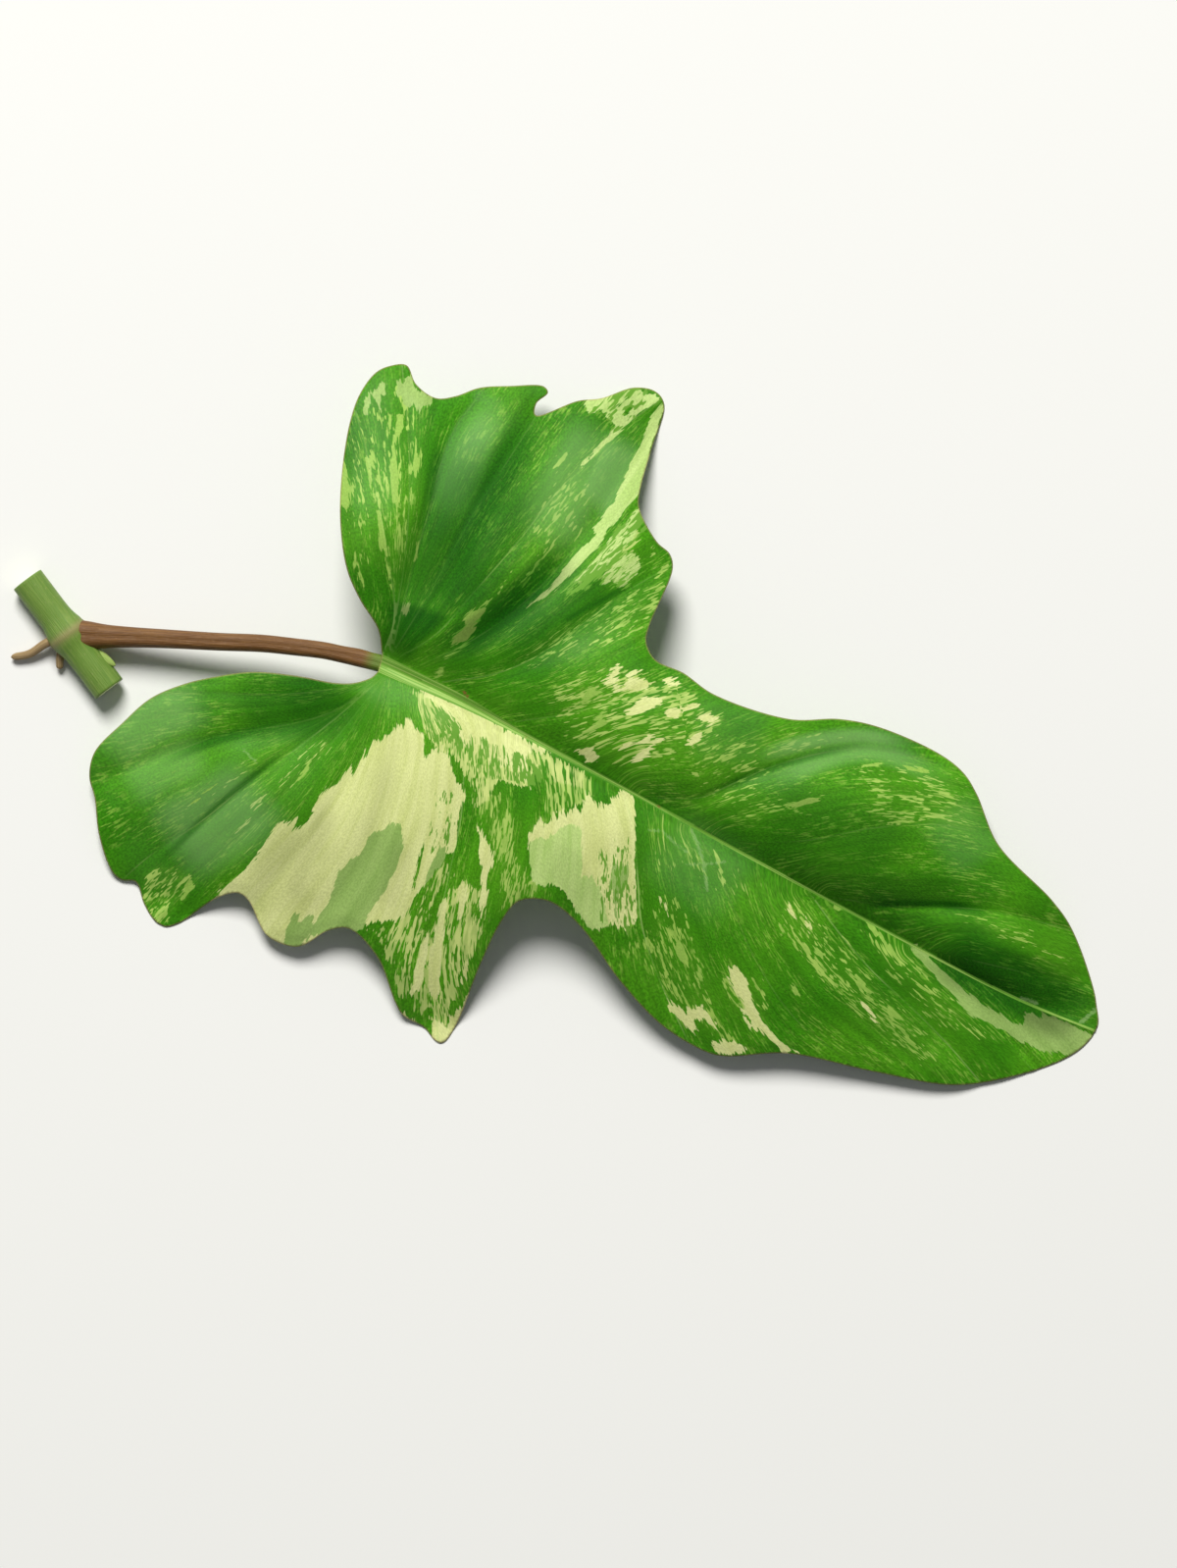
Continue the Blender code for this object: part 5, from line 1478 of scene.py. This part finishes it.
        # Painted highlights on crests, then painted shade in hollows
        colour = graph.mix(graph.field("painted_sheen"), colour, self.painted_sheen)
        colour = graph.mix(depth, colour, graph.tint(colour, self.shade))
        streaks = graph.step(graph.weave(flow, self.pale_streaks), *self.pale_streak_ramp)
        tones = {
            Tone.LIME: self.lime,
            Tone.CREAM: graph.mix(streaks, self.cream, self.cream_streak),
            Tone.CELADON: graph.mix(streaks, self.celadon, self.celadon_deep),
            Tone.PALE: graph.mix(streaks, self.pale, self.pale_streak),
        }
        # Painted shade, weaker on the pale tones, times their mottle
        painted_shade_factor = graph.step(depth, *self.pale_painted_shade_ramp)
        light = graph.times(painted_shade_factor, graph.step(mottle, *self.pale_mottle_ramp))
        for tone, tint in tones.items():
            colour = graph.mix(self.tone_mask(graph, tone, flow), colour, graph.shade(tint, light))
        colour = graph.mix(self.fleck_mask(graph, Fleck.GREEN_GRAINS, flow), colour, self.green_grain)
        colour = graph.mix(self.tone_mask(graph, Tone.GREEN, flow), colour, plain)
        colour = self.marks(graph, self.ribs(graph, colour), flow)
        under = graph.field("under")
        colour = graph.mix(graph.times(under, self.underside_share), colour, self.underside_pale)
        grain = graph.noise(graph.stretch(place, self.grain_scale))
        graph.surface(
            Base_Color=colour,
            Roughness=graph.step(graph.math("MAXIMUM", under, depth), 0.0, 1.0, *self.roughness),
            Normal=graph.bump(grain, self.grain_height, graph.bump(striae, self.striae_height)),
            Subsurface_Weight=0.0,
            Specular_IOR_Level=self.gloss,
        )
        return graph.material

    def ribs(self, graph: Graph, colour: Socket) -> Socket:
        """Paints the midrib's striped band and the side ribs' pale lines.

        Args:
            graph: The material's graph.
            colour: The colour so far.

        Returns:
            The new colour.
        """
        rib = graph.vector_field("rib")
        midrib = graph.vector_field("midrib")
        patchy = graph.noise(graph.stretch(midrib, self.rib_patch_scale, self.rib_patch_shift), 1.0)
        shown = graph.times(graph.part(rib, "Y"), graph.step(patchy, *self.rib_patch_ramp))
        line = graph.times(graph.step(graph.part(rib, "X"), *self.rib_line_ramp), shown)
        colour = graph.mix(line, colour, self.rib_line)
        offset, half = graph.part(midrib, "X"), graph.part(midrib, "Z")
        margin = graph.math("SUBTRACT", half, graph.math("ABSOLUTE", offset))
        striped = graph.noise(graph.stretch(midrib, self.stripe_scale))
        band = graph.mix(graph.step(striped, *self.stripe_ramp), self.midrib, self.midrib_line)
        return graph.mix(graph.step(margin, *self.band_ramp), colour, band)

    def marks(self, graph: Graph, colour: Socket, flow: Socket) -> Socket:
        """Paints scuffs, scars and the thin brown edge.

        Args:
            graph: The material's graph.
            colour: The colour so far.
            flow: The place among the veins.

        Returns:
            The new colour.
        """
        spread = graph.times(graph.add(graph.weave(flow, self.ragged), -0.5), self.scratch_spread)
        scuffs = graph.step(graph.add(graph.field("scuff"), spread), *self.scuff_ramp)
        colour = graph.mix(graph.times(scuffs, self.scuff_share), colour, self.scuff)
        scars = graph.step(graph.add(graph.field("scar"), spread), *self.scar_ramp)
        colour = graph.mix(graph.times(scars, self.scar_share), colour, self.scar)
        return graph.mix(graph.step(graph.field("edge"), *self.rim_ramp), colour, self.rim)


@dataclass(frozen=True)
class BarkSkin:
    """A stalk's, stem's or root's skin, streaked along it and flecked."""

    name: str
    tint: Colour
    streak: Colour
    joint: Colour
    fleck: Colour
    fleck_share: float = 0.3
    roughness: float = 0.5
    gloss: float = 0.3
    streak_scale: Triple = (2.2, 0.09, 0.0)
    streak_detail: float = 3.0
    streak_roughness: float = 0.6
    streak_ramp: Ramp = (0.4, 0.64)
    streak_height: float = 0.0003
    fleck_scale: Triple = (1.5, 0.8, 0.0)
    fleck_shift: float = 9.0
    fleck_ramp: Ramp = (0.62, 0.7)

    def material(self) -> bpy.types.Material:
        """Builds the material."""
        graph = Graph(self.name)
        along = graph.vector_field("along")
        place = graph.stretch(along, self.streak_scale)
        streaks = graph.noise(place, self.streak_detail, self.streak_roughness)
        colour = graph.mix(graph.step(streaks, *self.streak_ramp), self.tint, self.streak)
        flecks = graph.noise(graph.stretch(along, self.fleck_scale, self.fleck_shift))
        shown = graph.times(graph.step(flecks, *self.fleck_ramp), self.fleck_share)
        colour = graph.mix(shown, colour, self.fleck)
        colour = graph.mix(graph.field("joint"), colour, self.joint)
        graph.surface(
            Base_Color=colour,
            Roughness=self.roughness,
            Normal=graph.bump(streaks, self.streak_height),
            Specular_IOR_Level=self.gloss,
        )
        return graph.material


STALK_SKIN = BarkSkin(
    "stalk_skin", tint=linear(104, 68, 32), streak=linear(128, 90, 46), joint=linear(100, 124, 44),
    fleck=linear(150, 116, 66))
STEM_SKIN = BarkSkin(
    "stem_skin", tint=linear(98, 134, 50), streak=linear(122, 150, 66), joint=linear(150, 140, 92),
    fleck=linear(168, 164, 112))
BUD_SKIN = BarkSkin(
    "bud_skin", tint=linear(140, 170, 78), streak=linear(166, 188, 104), joint=linear(150, 140, 92),
    fleck=linear(176, 140, 100))
ROOT_SKIN = BarkSkin(
    "root_skin", tint=linear(140, 116, 80), streak=linear(170, 146, 106), joint=linear(150, 140, 92),
    fleck=linear(104, 82, 56), roughness=0.8)


@dataclass(frozen=True)
class CutFace:
    """A freshly cut end: pale, with the rind's darker ring and the bundles' dots."""

    pith: Colour = linear(214, 222, 170)
    rind: Colour = linear(126, 160, 74)
    rind_ramp: Ramp = (0.72, 0.95)
    dot_scale: Triple = (2200.0, 2200.0, 2200.0)
    dot_ramp: Ramp = (0.6, 0.7)
    dot_share: float = 0.4
    dot_height: float = 0.0001
    roughness: float = 0.6

    def material(self) -> bpy.types.Material:
        """Builds the material."""
        graph = Graph("cut_face")
        radial = graph.field("radial")
        colour = graph.mix(graph.step(radial, *self.rind_ramp), self.pith, self.rind)
        dots = graph.noise(graph.stretch(graph.place(), self.dot_scale), 1.0)
        shown = graph.times(graph.step(dots, *self.dot_ramp), self.dot_share)
        colour = graph.mix(shown, colour, self.rind)
        graph.surface(
            Base_Color=colour, Roughness=self.roughness, Normal=graph.bump(dots, self.dot_height)
        )
        return graph.material


@dataclass(frozen=True)
class Backdrop:
    """The plain pale surface that the cutting lies on."""

    colour: Colour = linear(236, 236, 234)
    roughness: float = 0.9

    def material(self) -> bpy.types.Material:
        """Builds the material."""
        graph = Graph("backdrop")
        graph.surface(Base_Color=(*self.colour, 1.0), Roughness=self.roughness)
        return graph.material


@dataclass
class LeafBlade:
    """The blade, with a finely divided upper face that carries its markings and a coarser lower one."""

    form: LeafForm
    markings: LeafMarkings
    skin: LeafSkin
    upper_spacing: float = 0.8
    lower_spacing: float = 1.6
    edge_spacing: float = 0.95
    crowding: float = 0.5
    lower_flow_start: float = 500.0
    # The midrib band's half width, by the distance from the blade's base
    band: tuple[Pair, ...] = ((0.0, 2.8), (30.0, 1.7), (47.0, 0.9), (90.0, 0.5), (245.0, 0.42))

    def outline(self) -> np.ndarray:
        """The blade's edge, closed by the short side where the stalk joins it, anticlockwise."""
        edge = smooth_curve(MARGIN, self.edge_spacing)
        steps = max(2, round(float(np.linalg.norm(edge[0] - edge[-1])) / self.edge_spacing))
        shares = np.linspace(0.0, 1.0, steps + 1)[1:-1, None]
        return np.vstack([edge, edge[-1] + shares * (edge[0] - edge[-1])])[::-1].copy()

    def edge_distance(self, ring: np.ndarray, points: np.ndarray) -> np.ndarray:
        """Each point's distance to the leaf's edge.

        Args:
            ring: The edge's points.
            points: Places of the plan.

        Returns:
            Distances in millimetres.
        """
        tree = KDTree(len(ring))
        for index, (x, y) in enumerate(ring):
            tree.insert((x, y, 0.0), index)
        tree.balance()
        nearest = np.array([tree.find((x, y, 0.0))[1] for x, y in points])
        best = np.full(len(points), np.inf)
        for shift in (-1, 0):
            start = ring[(nearest + shift) % len(ring)]
            along = ring[(nearest + shift + 1) % len(ring)] - start
            away = points - start
            share = np.clip(np.sum(away * along, axis=1) / np.sum(along * along, axis=1), 0.0, 1.0)
            best = np.minimum(best, np.linalg.norm(away - share[:, None] * along, axis=1))
        return best

    def divided(self, ring: np.ndarray, spacing: float) -> tuple[np.ndarray, Faces]:
        """Divides the plan into triangles, with lines of points along the ribs.

        Args:
            ring: The edge's points.
            spacing: How far apart the points inside it are.

        Returns:
            (points, triangles). The edge's points come first.
        """
        low, high = ring.min(axis=0), ring.max(axis=0)
        rows = []
        for number, y in enumerate(np.arange(low[1], high[1], spacing * math.sqrt(3) / 2)):
            xs = np.arange(low[0] + (number % 2) * spacing / 2, high[0], spacing)
            rows.append(np.column_stack([xs, np.full(len(xs), y)]))
        grid = np.vstack(rows)
        grid = grid[inside(ring, grid)]
        routes = [MIDRIB, *(rib.route for rib in UPPER_RIBS + LOWER_RIBS)]
        crests = [even_curve(route, spacing) for route in routes]
        least = self.crowding * spacing
        clear = self.edge_distance(ring, grid)
        points, edges = ring, []
        for crest in crests:
            clear = np.minimum(clear, distance_to(crest, grid)[0])
            free = inside(ring, crest) & (self.edge_distance(ring, crest) > least)
            if len(points) > len(ring):
                others = points[len(ring):]
                gaps = np.min(np.linalg.norm(crest[:, None, :] - others[None, :, :], axis=2), axis=1)
                free &= gaps > least
            number = (len(points) + np.cumsum(free) - 1).tolist()
            edges += [(number[i], number[i + 1]) for i in np.flatnonzero(free[:-1] & free[1:])]
            points = np.vstack([points, crest[free]])
        points = np.vstack([points, grid[clear > least]])
        border = [list(range(len(ring)))]
        result = delaunay_2d_cdt([Vector(p) for p in points], edges, border, 1, CLOSE)
        return np.array([tuple(v) for v in result[0]]), [tuple(face) for face in result[2]]

    def flow(self, points: np.ndarray) -> Fields:
        """Where the points lie among the veins of their side of the blade.

        Args:
            points: Places of the plan.

        Returns:
            What FlowField measures, and midrib: (across the midrib, along it, the band's half width).
        """
        midrib = smooth_curve(MIDRIB, self.form.curve_step)
        from_midrib, place = distance_to(midrib, points)
        offset = points[:, 1] - np.interp(points[:, 0], midrib[:, 0], midrib[:, 1])
        upper = offset > 0
        found: Fields = {}
        for chosen, field in (
            (upper, FlowField(UPPER_RIBS, 1.0, 0.0)),
            (~upper, FlowField(LOWER_RIBS, -1.0, self.lower_flow_start)),
        ):
            for name, values in field.measure(points[chosen]).items():
                whole = found.setdefault(name, np.zeros((len(points), *values.shape[1:])))
                whole[chosen] = values
        along = place * MIDRIB[-1][0]
        half = np.interp(along, *zip(*self.band))
        found["midrib"] = np.column_stack([np.sign(offset) * from_midrib, along, half])
        return found

    def build(self) -> MeshParts:
        """Builds the blade's mesh and lays its markings onto it."""
        ring = self.outline()
        plan, faces = self.divided(ring, self.upper_spacing)
        lower_plan, lower_faces = self.divided(ring, self.lower_spacing)
        below = len(plan)
        faces += [(c + below, b + below, a + below) for a, b, c in lower_faces]
        for start in range(len(ring)):
            end = (start + 1) % len(ring)
            faces.append((start + below, end + below, end, start))
        plan = np.vstack([plan, lower_plan])
        under = np.arange(len(plan)) >= below
        edge = self.edge_distance(ring, plan)
        height = np.where(under, *reversed(self.form.faces(plan, edge)))
        flow = self.flow(plan)
        fields = {
            "flow": flow["flow"],
            "midrib": flow["midrib"],
            "rib": np.column_stack([flow["gap"], flow["line"], np.zeros(len(plan))]),
            "under": under.astype(float),
            "edge": edge,
            **self.markings.fields(plan, flow["direction"]),
        }
        return MeshParts(np.column_stack([plan, height]), faces, fields)

    def dress(self, parts: MeshParts) -> bpy.types.Object:
        """Gives the blade its skin."""
        return parts.make("leaf_blade_skin", self.skin.material(), "leaf_blade", "leaf")


def tube(
    centres: np.ndarray, radii: np.ndarray, sides: int, shape: Callable[[float], float] | None = None
) -> MeshParts:
    """A closed tube of upright rings along a route.

    Args:
        centres: The route's points.
        radii: The radius at each.
        sides: How many sides it has.
        shape: Scales the radius by the angle round the tube.

    Returns:
        The tube, with where each point lies along it, in a field.
    """
    ahead = np.gradient(centres, axis=0)
    points, along = [], []
    angles = np.arange(sides) * 2 * math.pi / sides
    for centre, heading, radius, length in zip(centres, ahead, radii, lengths_along(centres)):
        heading = heading / np.linalg.norm(heading)
        across = np.cross(UP, heading)
        across /= np.linalg.norm(across)
        up = np.cross(heading, across)
        for angle in angles:
            size = radius * (shape(angle) if shape else 1.0)
            points.append(centre + size * (math.cos(angle) * across + math.sin(angle) * up))
            wide = radius * TUBE_SPREAD
            along.append((wide * math.cos(angle), length, wide * math.sin(angle)))
    faces: Faces = []
    for ring in range(len(centres) - 1):
        for side in range(sides):
            a = ring * sides + side
            b = ring * sides + (side + 1) % sides
            faces.append((a, b, b + sides, a + sides))
    faces.append(tuple(reversed(range(sides))))
    faces.append(tuple(range((len(centres) - 1) * sides, len(centres) * sides)))
    fields = {"along": np.array(along), "joint": np.zeros(len(points))}
    return MeshParts(np.array(points), faces, fields)


@dataclass
class LeafStalk:
    """The leaf's stalk, from its green joint at the blade to the sheath on the stem."""

    skin: BarkSkin = STALK_SKIN
    route: Route = (
        (-8.6, -1.8, 18.0, 2.75), (-13.2, -3.1, 17.2, 2.6), (-19.0, -4.7, 16.2, 2.6),
        (-27.6, -7.9, 14.8, 2.65), (-36.8, -11.5, 13.3, 2.7), (-49.4, -17.4, 11.5, 2.75),
        (-63.2, -23.6, 9.7, 2.9), (-74.0, -28.6, 8.2, 3.2), (-81.0, -31.9, 7.2, 3.7),
        (-85.6, -34.0, 6.6, 4.4), (-89.5, -35.8, 6.1, 4.8),
    )
    start_radius: float = 2.65
    overlap: float = 0.6
    step: float = 0.9
    sides: int = 40
    flat: float = 0.93
    groove: float = 0.13
    groove_width: float = 0.32
    straight_length: float = 3.2
    joint_start: float = 1.4
    joint_length: float = 4.5

    def section(self, angle: float) -> float:
        """The stalk's section: a little flatter than round, with a shallow groove along its upper side."""
        flat = 1.0 - (1.0 - self.flat) * abs(math.sin(angle))
        return flat - self.groove * math.exp(-(((angle - math.pi / 2) / self.groove_width) ** 2))

    def build(self, form: LeafForm) -> MeshParts:
        """Builds the stalk's mesh.

        Args:
            form: The blade's form, for the height at which the stalk joins it.

        Returns:
            The mesh.
        """
        low, high = np.array(MARGIN[-1]), np.array(MARGIN[0])
        middle = (low + high) / 2
        away = np.array([low[1] - high[1], high[0] - low[0]]) / np.linalg.norm(high - low)
        height = float(np.mean(form.faces(middle[None, :], np.zeros(1))))
        offsets = (-self.overlap, self.straight_length)
        starts = [(*(middle + away * offset), height, self.start_radius) for offset in offsets]
        route = even_curve((*starts, *self.route), self.step)
        parts = tube(route[:, :3], route[:, 3], self.sides, self.section)
        run = parts.fields["along"][:, 1]
        parts.fields["joint"] = smooth_share(self.joint_start - run / self.joint_length)
        return parts

    def dress(self, parts: MeshParts) -> bpy.types.Object:
        """Gives the stalk its skin."""
        return parts.make("leaf_stalk_skin", self.skin.material(), "leaf_stalk", "stalk")


@dataclass
class StemPiece:
    """The short piece of stem with its node, its bud and the stubs of two aerial roots."""

    skin: BarkSkin = STEM_SKIN
    bud_skin: BarkSkin = BUD_SKIN
    root_skin: BarkSkin = ROOT_SKIN
    cut: CutFace = CutFace()
    middle: Pair = (-91.4, -36.6)
    direction: Pair = (0.901, -0.433)
    half_length: float = 21.0
    radius: float = 5.2
    flat_depth: float = 0.22
    node_swell: float = 1.3
    node_width: float = 4.0
    scar_depth: float = 0.16
    scar_place: float = 1.6
    scar_width: float = 0.35
    joint_width: float = 1.5
    joint_share: float = 0.8
    step: float = 0.7
    sides: int = 56
    cut_rings: int = 9
    cut_inset: float = 0.02
    cut_rise: float = 0.05
    cut_share: float = 0.985
    cut_roundness: int = 6
    bud_start: Triple = (9.5, 3.4, 0.8)
    bud_lean: Triple = (0.93, 0.33, 0.14)
    bud_length: float = 7.5
    bud_radius: float = 1.7
    bud_rings: int = 26
    bud_sides: int = 28
    bud_fullness: float = 1.02
    bud_taper: float = 1.6
    roots: Sequence[tuple[Route, float, float]] = (
        (((-93.0, -38.0, 4.6), (-96.5, -42.5, 3.8), (-99.5, -47.5, 2.2), (-104.0, -51.0, 1.7)), 1.5, 1.1),
        (((-90.5, -38.5, 4.2), (-90.8, -43.0, 3.2), (-89.0, -47.4, 1.9)), 1.4, 1.1),
    )
    root_step: float = 0.5
    root_sides: int = 24
    root_tip_share: float = 0.12
    root_tip_least: float = 0.03

    def axis(self) -> tuple[np.ndarray, np.ndarray]:
        """The stem's middle and direction."""
        direction = np.array([*self.direction, 0.0])
        direction /= np.linalg.norm(direction)
        return np.array([*self.middle, self.radius - self.flat_depth]), direction

    def stem(self) -> MeshParts:
        """The stem's own mesh."""
        middle, direction = self.axis()
        places = np.arange(-self.half_length, self.half_length + self.step / 2, self.step)
        radii = self.radius + self.node_swell * np.exp(-((places / self.node_width) ** 2))
        scars = np.exp(-(((np.abs(places) - self.scar_place) / self.scar_width) ** 2))
        radii -= self.scar_depth * scars
        parts = tube(middle + places[:, None] * direction, radii, self.sides)
        parts.press()
        run = parts.fields["along"][:, 1] - self.half_length
        parts.fields["joint"] = np.exp(-((run / self.joint_width) ** 2)) * self.joint_share
        return parts

    def faces(self) -> list[MeshParts]:
        """The two cut ends, as thin discs."""
        middle, direction = self.axis()
        across = np.cross(UP, direction)
        made = []
        for sign in (1.0, -1.0):
            centre = middle + sign * (self.half_length - self.cut_inset) * direction
            points, radial = [centre + sign * self.cut_rise * direction], [0.0]
            for share in np.linspace(0.0, 1.0, self.cut_rings + 1)[1:]:
                size = self.cut_share * share * self.radius
                out = self.cut_rise * (1 - share**self.cut_roundness)
                for angle in np.arange(self.sides) * 2 * math.pi / self.sides:
                    spoke = math.cos(angle) * across + np.array([0.0, 0.0, math.sin(angle)])
                    points.append(centre + size * spoke + sign * out * direction)
                    radial.append(share)
            faces: Faces = []
            for side in range(self.sides):
                following = (side + 1) % self.sides
                faces.append((0, 1 + side, 1 + following))
                for ring in range(self.cut_rings - 1):
                    first = 1 + ring * self.sides
                    a, b = first + side, first + following
                    faces.append((a, a + self.sides, b + self.sides, b))
            if sign < 0:
                faces = [tuple(reversed(face)) for face in faces]
            parts = MeshParts(np.array(points), faces, {"radial": np.array(radial)})
            parts.press()
            made.append(parts)
        return made

    def bud(self) -> MeshParts:
        """The pointed bud."""
        middle, direction = self.axis()
        across = np.cross(UP, direction)
        basis = np.array([direction, across, UP])
        start = middle + np.array(self.bud_start) @ basis
        lean = np.array(self.bud_lean) @ basis
        lean /= np.linalg.norm(lean)
        places = np.linspace(0.0, 1.0, self.bud_rings)
        radii = self.bud_radius * np.sqrt(np.clip(self.bud_fullness - places**self.bud_taper, 0.0, 1.0))
        return tube(start + places[:, None] * lean * self.bud_length, radii, self.bud_sides)

    def root(self, number: int) -> MeshParts:
        """The mesh of an aerial root's stub.

        Args:
            number: The root's number.

        Returns:
            The mesh.
        """
        route, start_radius, tip_radius = self.roots[number]
        centres = even_curve(route, self.root_step)
        shares = np.linspace(0.0, 1.0, len(centres))
        end = np.clip(1.0 + (shares - 1.0) / self.root_tip_share, 0.0, 1.0)
        rounding = np.sqrt(np.clip(1.0 - end**2, self.root_tip_least, 1.0))
        radii = (start_radius + (tip_radius - start_radius) * shares) * rounding
        parts = tube(centres, radii, self.root_sides)
        parts.press()
        return parts

    def build(self) -> dict[str, tuple[MeshParts, bpy.types.Material]]:
        """Builds all meshes of the stem piece, with their materials."""
        cut = self.cut.material()
        root_skin = self.root_skin.material()
        upper_cut, lower_cut = self.faces()
        return {
            "stem_skin": (self.stem(), self.skin.material()),
            "stem_cut_upper": (upper_cut, cut),
            "stem_cut_lower": (lower_cut, cut),
            "stem_bud": (self.bud(), self.bud_skin.material()),
            "aerial_root_long": (self.root(0), root_skin),
            "aerial_root_short": (self.root(1), root_skin),
        }

    def dress(self, built: dict[str, tuple[MeshParts, bpy.types.Material]]) -> list[bpy.types.Object]:
        """Gives each mesh its finish."""
        return [
            parts.make(name, material, "stem_piece", "stem")
            for name, (parts, material) in built.items()
        ]


@dataclass(frozen=True)
class Studio:
    """The pale surface, the light and the camera, which looks straight down on the cutting."""

    backdrop: Backdrop
    floor_size: float = 30.0
    floor_height: float = -0.0001
    camera_height: float = 2.52
    subject_height: float = 0.02
    sensor: float = 36.0
    key_size: float = 1.8
    key_distance: float = 4.2
    key_elevation: float = 50.0
    key_turn: float = 102.0
    key_watts: float = 222.0
    key_colour: Colour = (1.0, 0.99, 0.95)
    sky_strength: float = 0.16
    sky_colour: Colour = (0.96, 0.98, 1.0)
    clip: Pair = (0.1, 100.0)

    def target(self) -> Vector:
        """The point under the middle of the picture."""
        x, y = PHOTO.to_plan(PHOTO.middle)[0] - np.array(PLAN_CENTRE)
        return Vector((x * MM, y * MM, self.subject_height))

    def floor(self) -> None:
        """Lays the pale surface."""
        half = self.floor_size / 2
        mesh = bpy.data.meshes.new("floor")
        corners = [(x * half, y * half, self.floor_height) for x, y in ((-1, -1), (1, -1), (1, 1), (-1, 1))]
        mesh.from_pydata(corners, [], [(0, 1, 2, 3)])
        mesh.materials.append(self.backdrop.material())
        floor = bpy.data.objects.new("floor", mesh)
        bpy.context.scene.collection.objects.link(floor)

    def light(self) -> None:
        """Sets a large soft light beyond the picture's upper edge, and an even sky."""
        turn = math.radians(PHOTO.turn_degrees + self.key_turn)
        rise = math.radians(self.key_elevation)
        away = Vector((math.cos(turn) * math.cos(rise), math.sin(turn) * math.cos(rise), math.sin(rise)))
        lamp = bpy.data.lights.new("key", "AREA")
        lamp.shape = "DISK"
        lamp.size = self.key_size
        lamp.energy = self.key_watts
        lamp.color = self.key_colour
        key = bpy.data.objects.new("key", lamp)
        key.location = self.target() + away * self.key_distance
        key.rotation_mode = "QUATERNION"
        key.rotation_quaternion = away.to_track_quat("Z", "Y")
        bpy.context.scene.collection.objects.link(key)
        world = bpy.data.worlds.new("sky")
        world.use_nodes = True
        sky = world.node_tree.nodes["Background"]
        sky.inputs["Color"].default_value = (*self.sky_colour, 1.0)
        sky.inputs["Strength"].default_value = self.sky_strength
        bpy.context.scene.world = world

    def camera(self) -> None:
        """Sets the camera so that the photograph's pixels lie where they do in the photograph."""
        distance = self.camera_height - self.subject_height
        data = bpy.data.cameras.new("camera")
        data.sensor_width = self.sensor
        data.sensor_fit = "AUTO"
        data.lens = self.sensor * distance / (PHOTO.long_side * PHOTO.mm_per_pixel * MM)
        data.clip_start, data.clip_end = self.clip
        camera = bpy.data.objects.new("camera", data)
        camera.location = self.target() + Vector((0.0, 0.0, distance))
        camera.rotation_euler.z = math.radians(PHOTO.turn_degrees)
        bpy.context.scene.collection.objects.link(camera)
        bpy.context.scene.camera = camera
        bpy.context.scene.view_settings.view_transform = "Standard"

    def build(self) -> None:
        """Sets up the studio."""
        self.floor()
        self.light()
        self.camera()


def main() -> None:
    """Builds the cutting's pieces in order, then the studio."""
    logging.basicConfig(level=logging.INFO, format="%(name)s %(message)s")
    form = LeafForm()
    blade = LeafBlade(form, LeafMarkings(), LeafSkin())
    blade.dress(blade.build())
    stalk = LeafStalk()
    stalk.dress(stalk.build(form))
    stem = StemPiece()
    stem.dress(stem.build())
    Studio(Backdrop()).build()


if __name__ == "__main__":
    main()
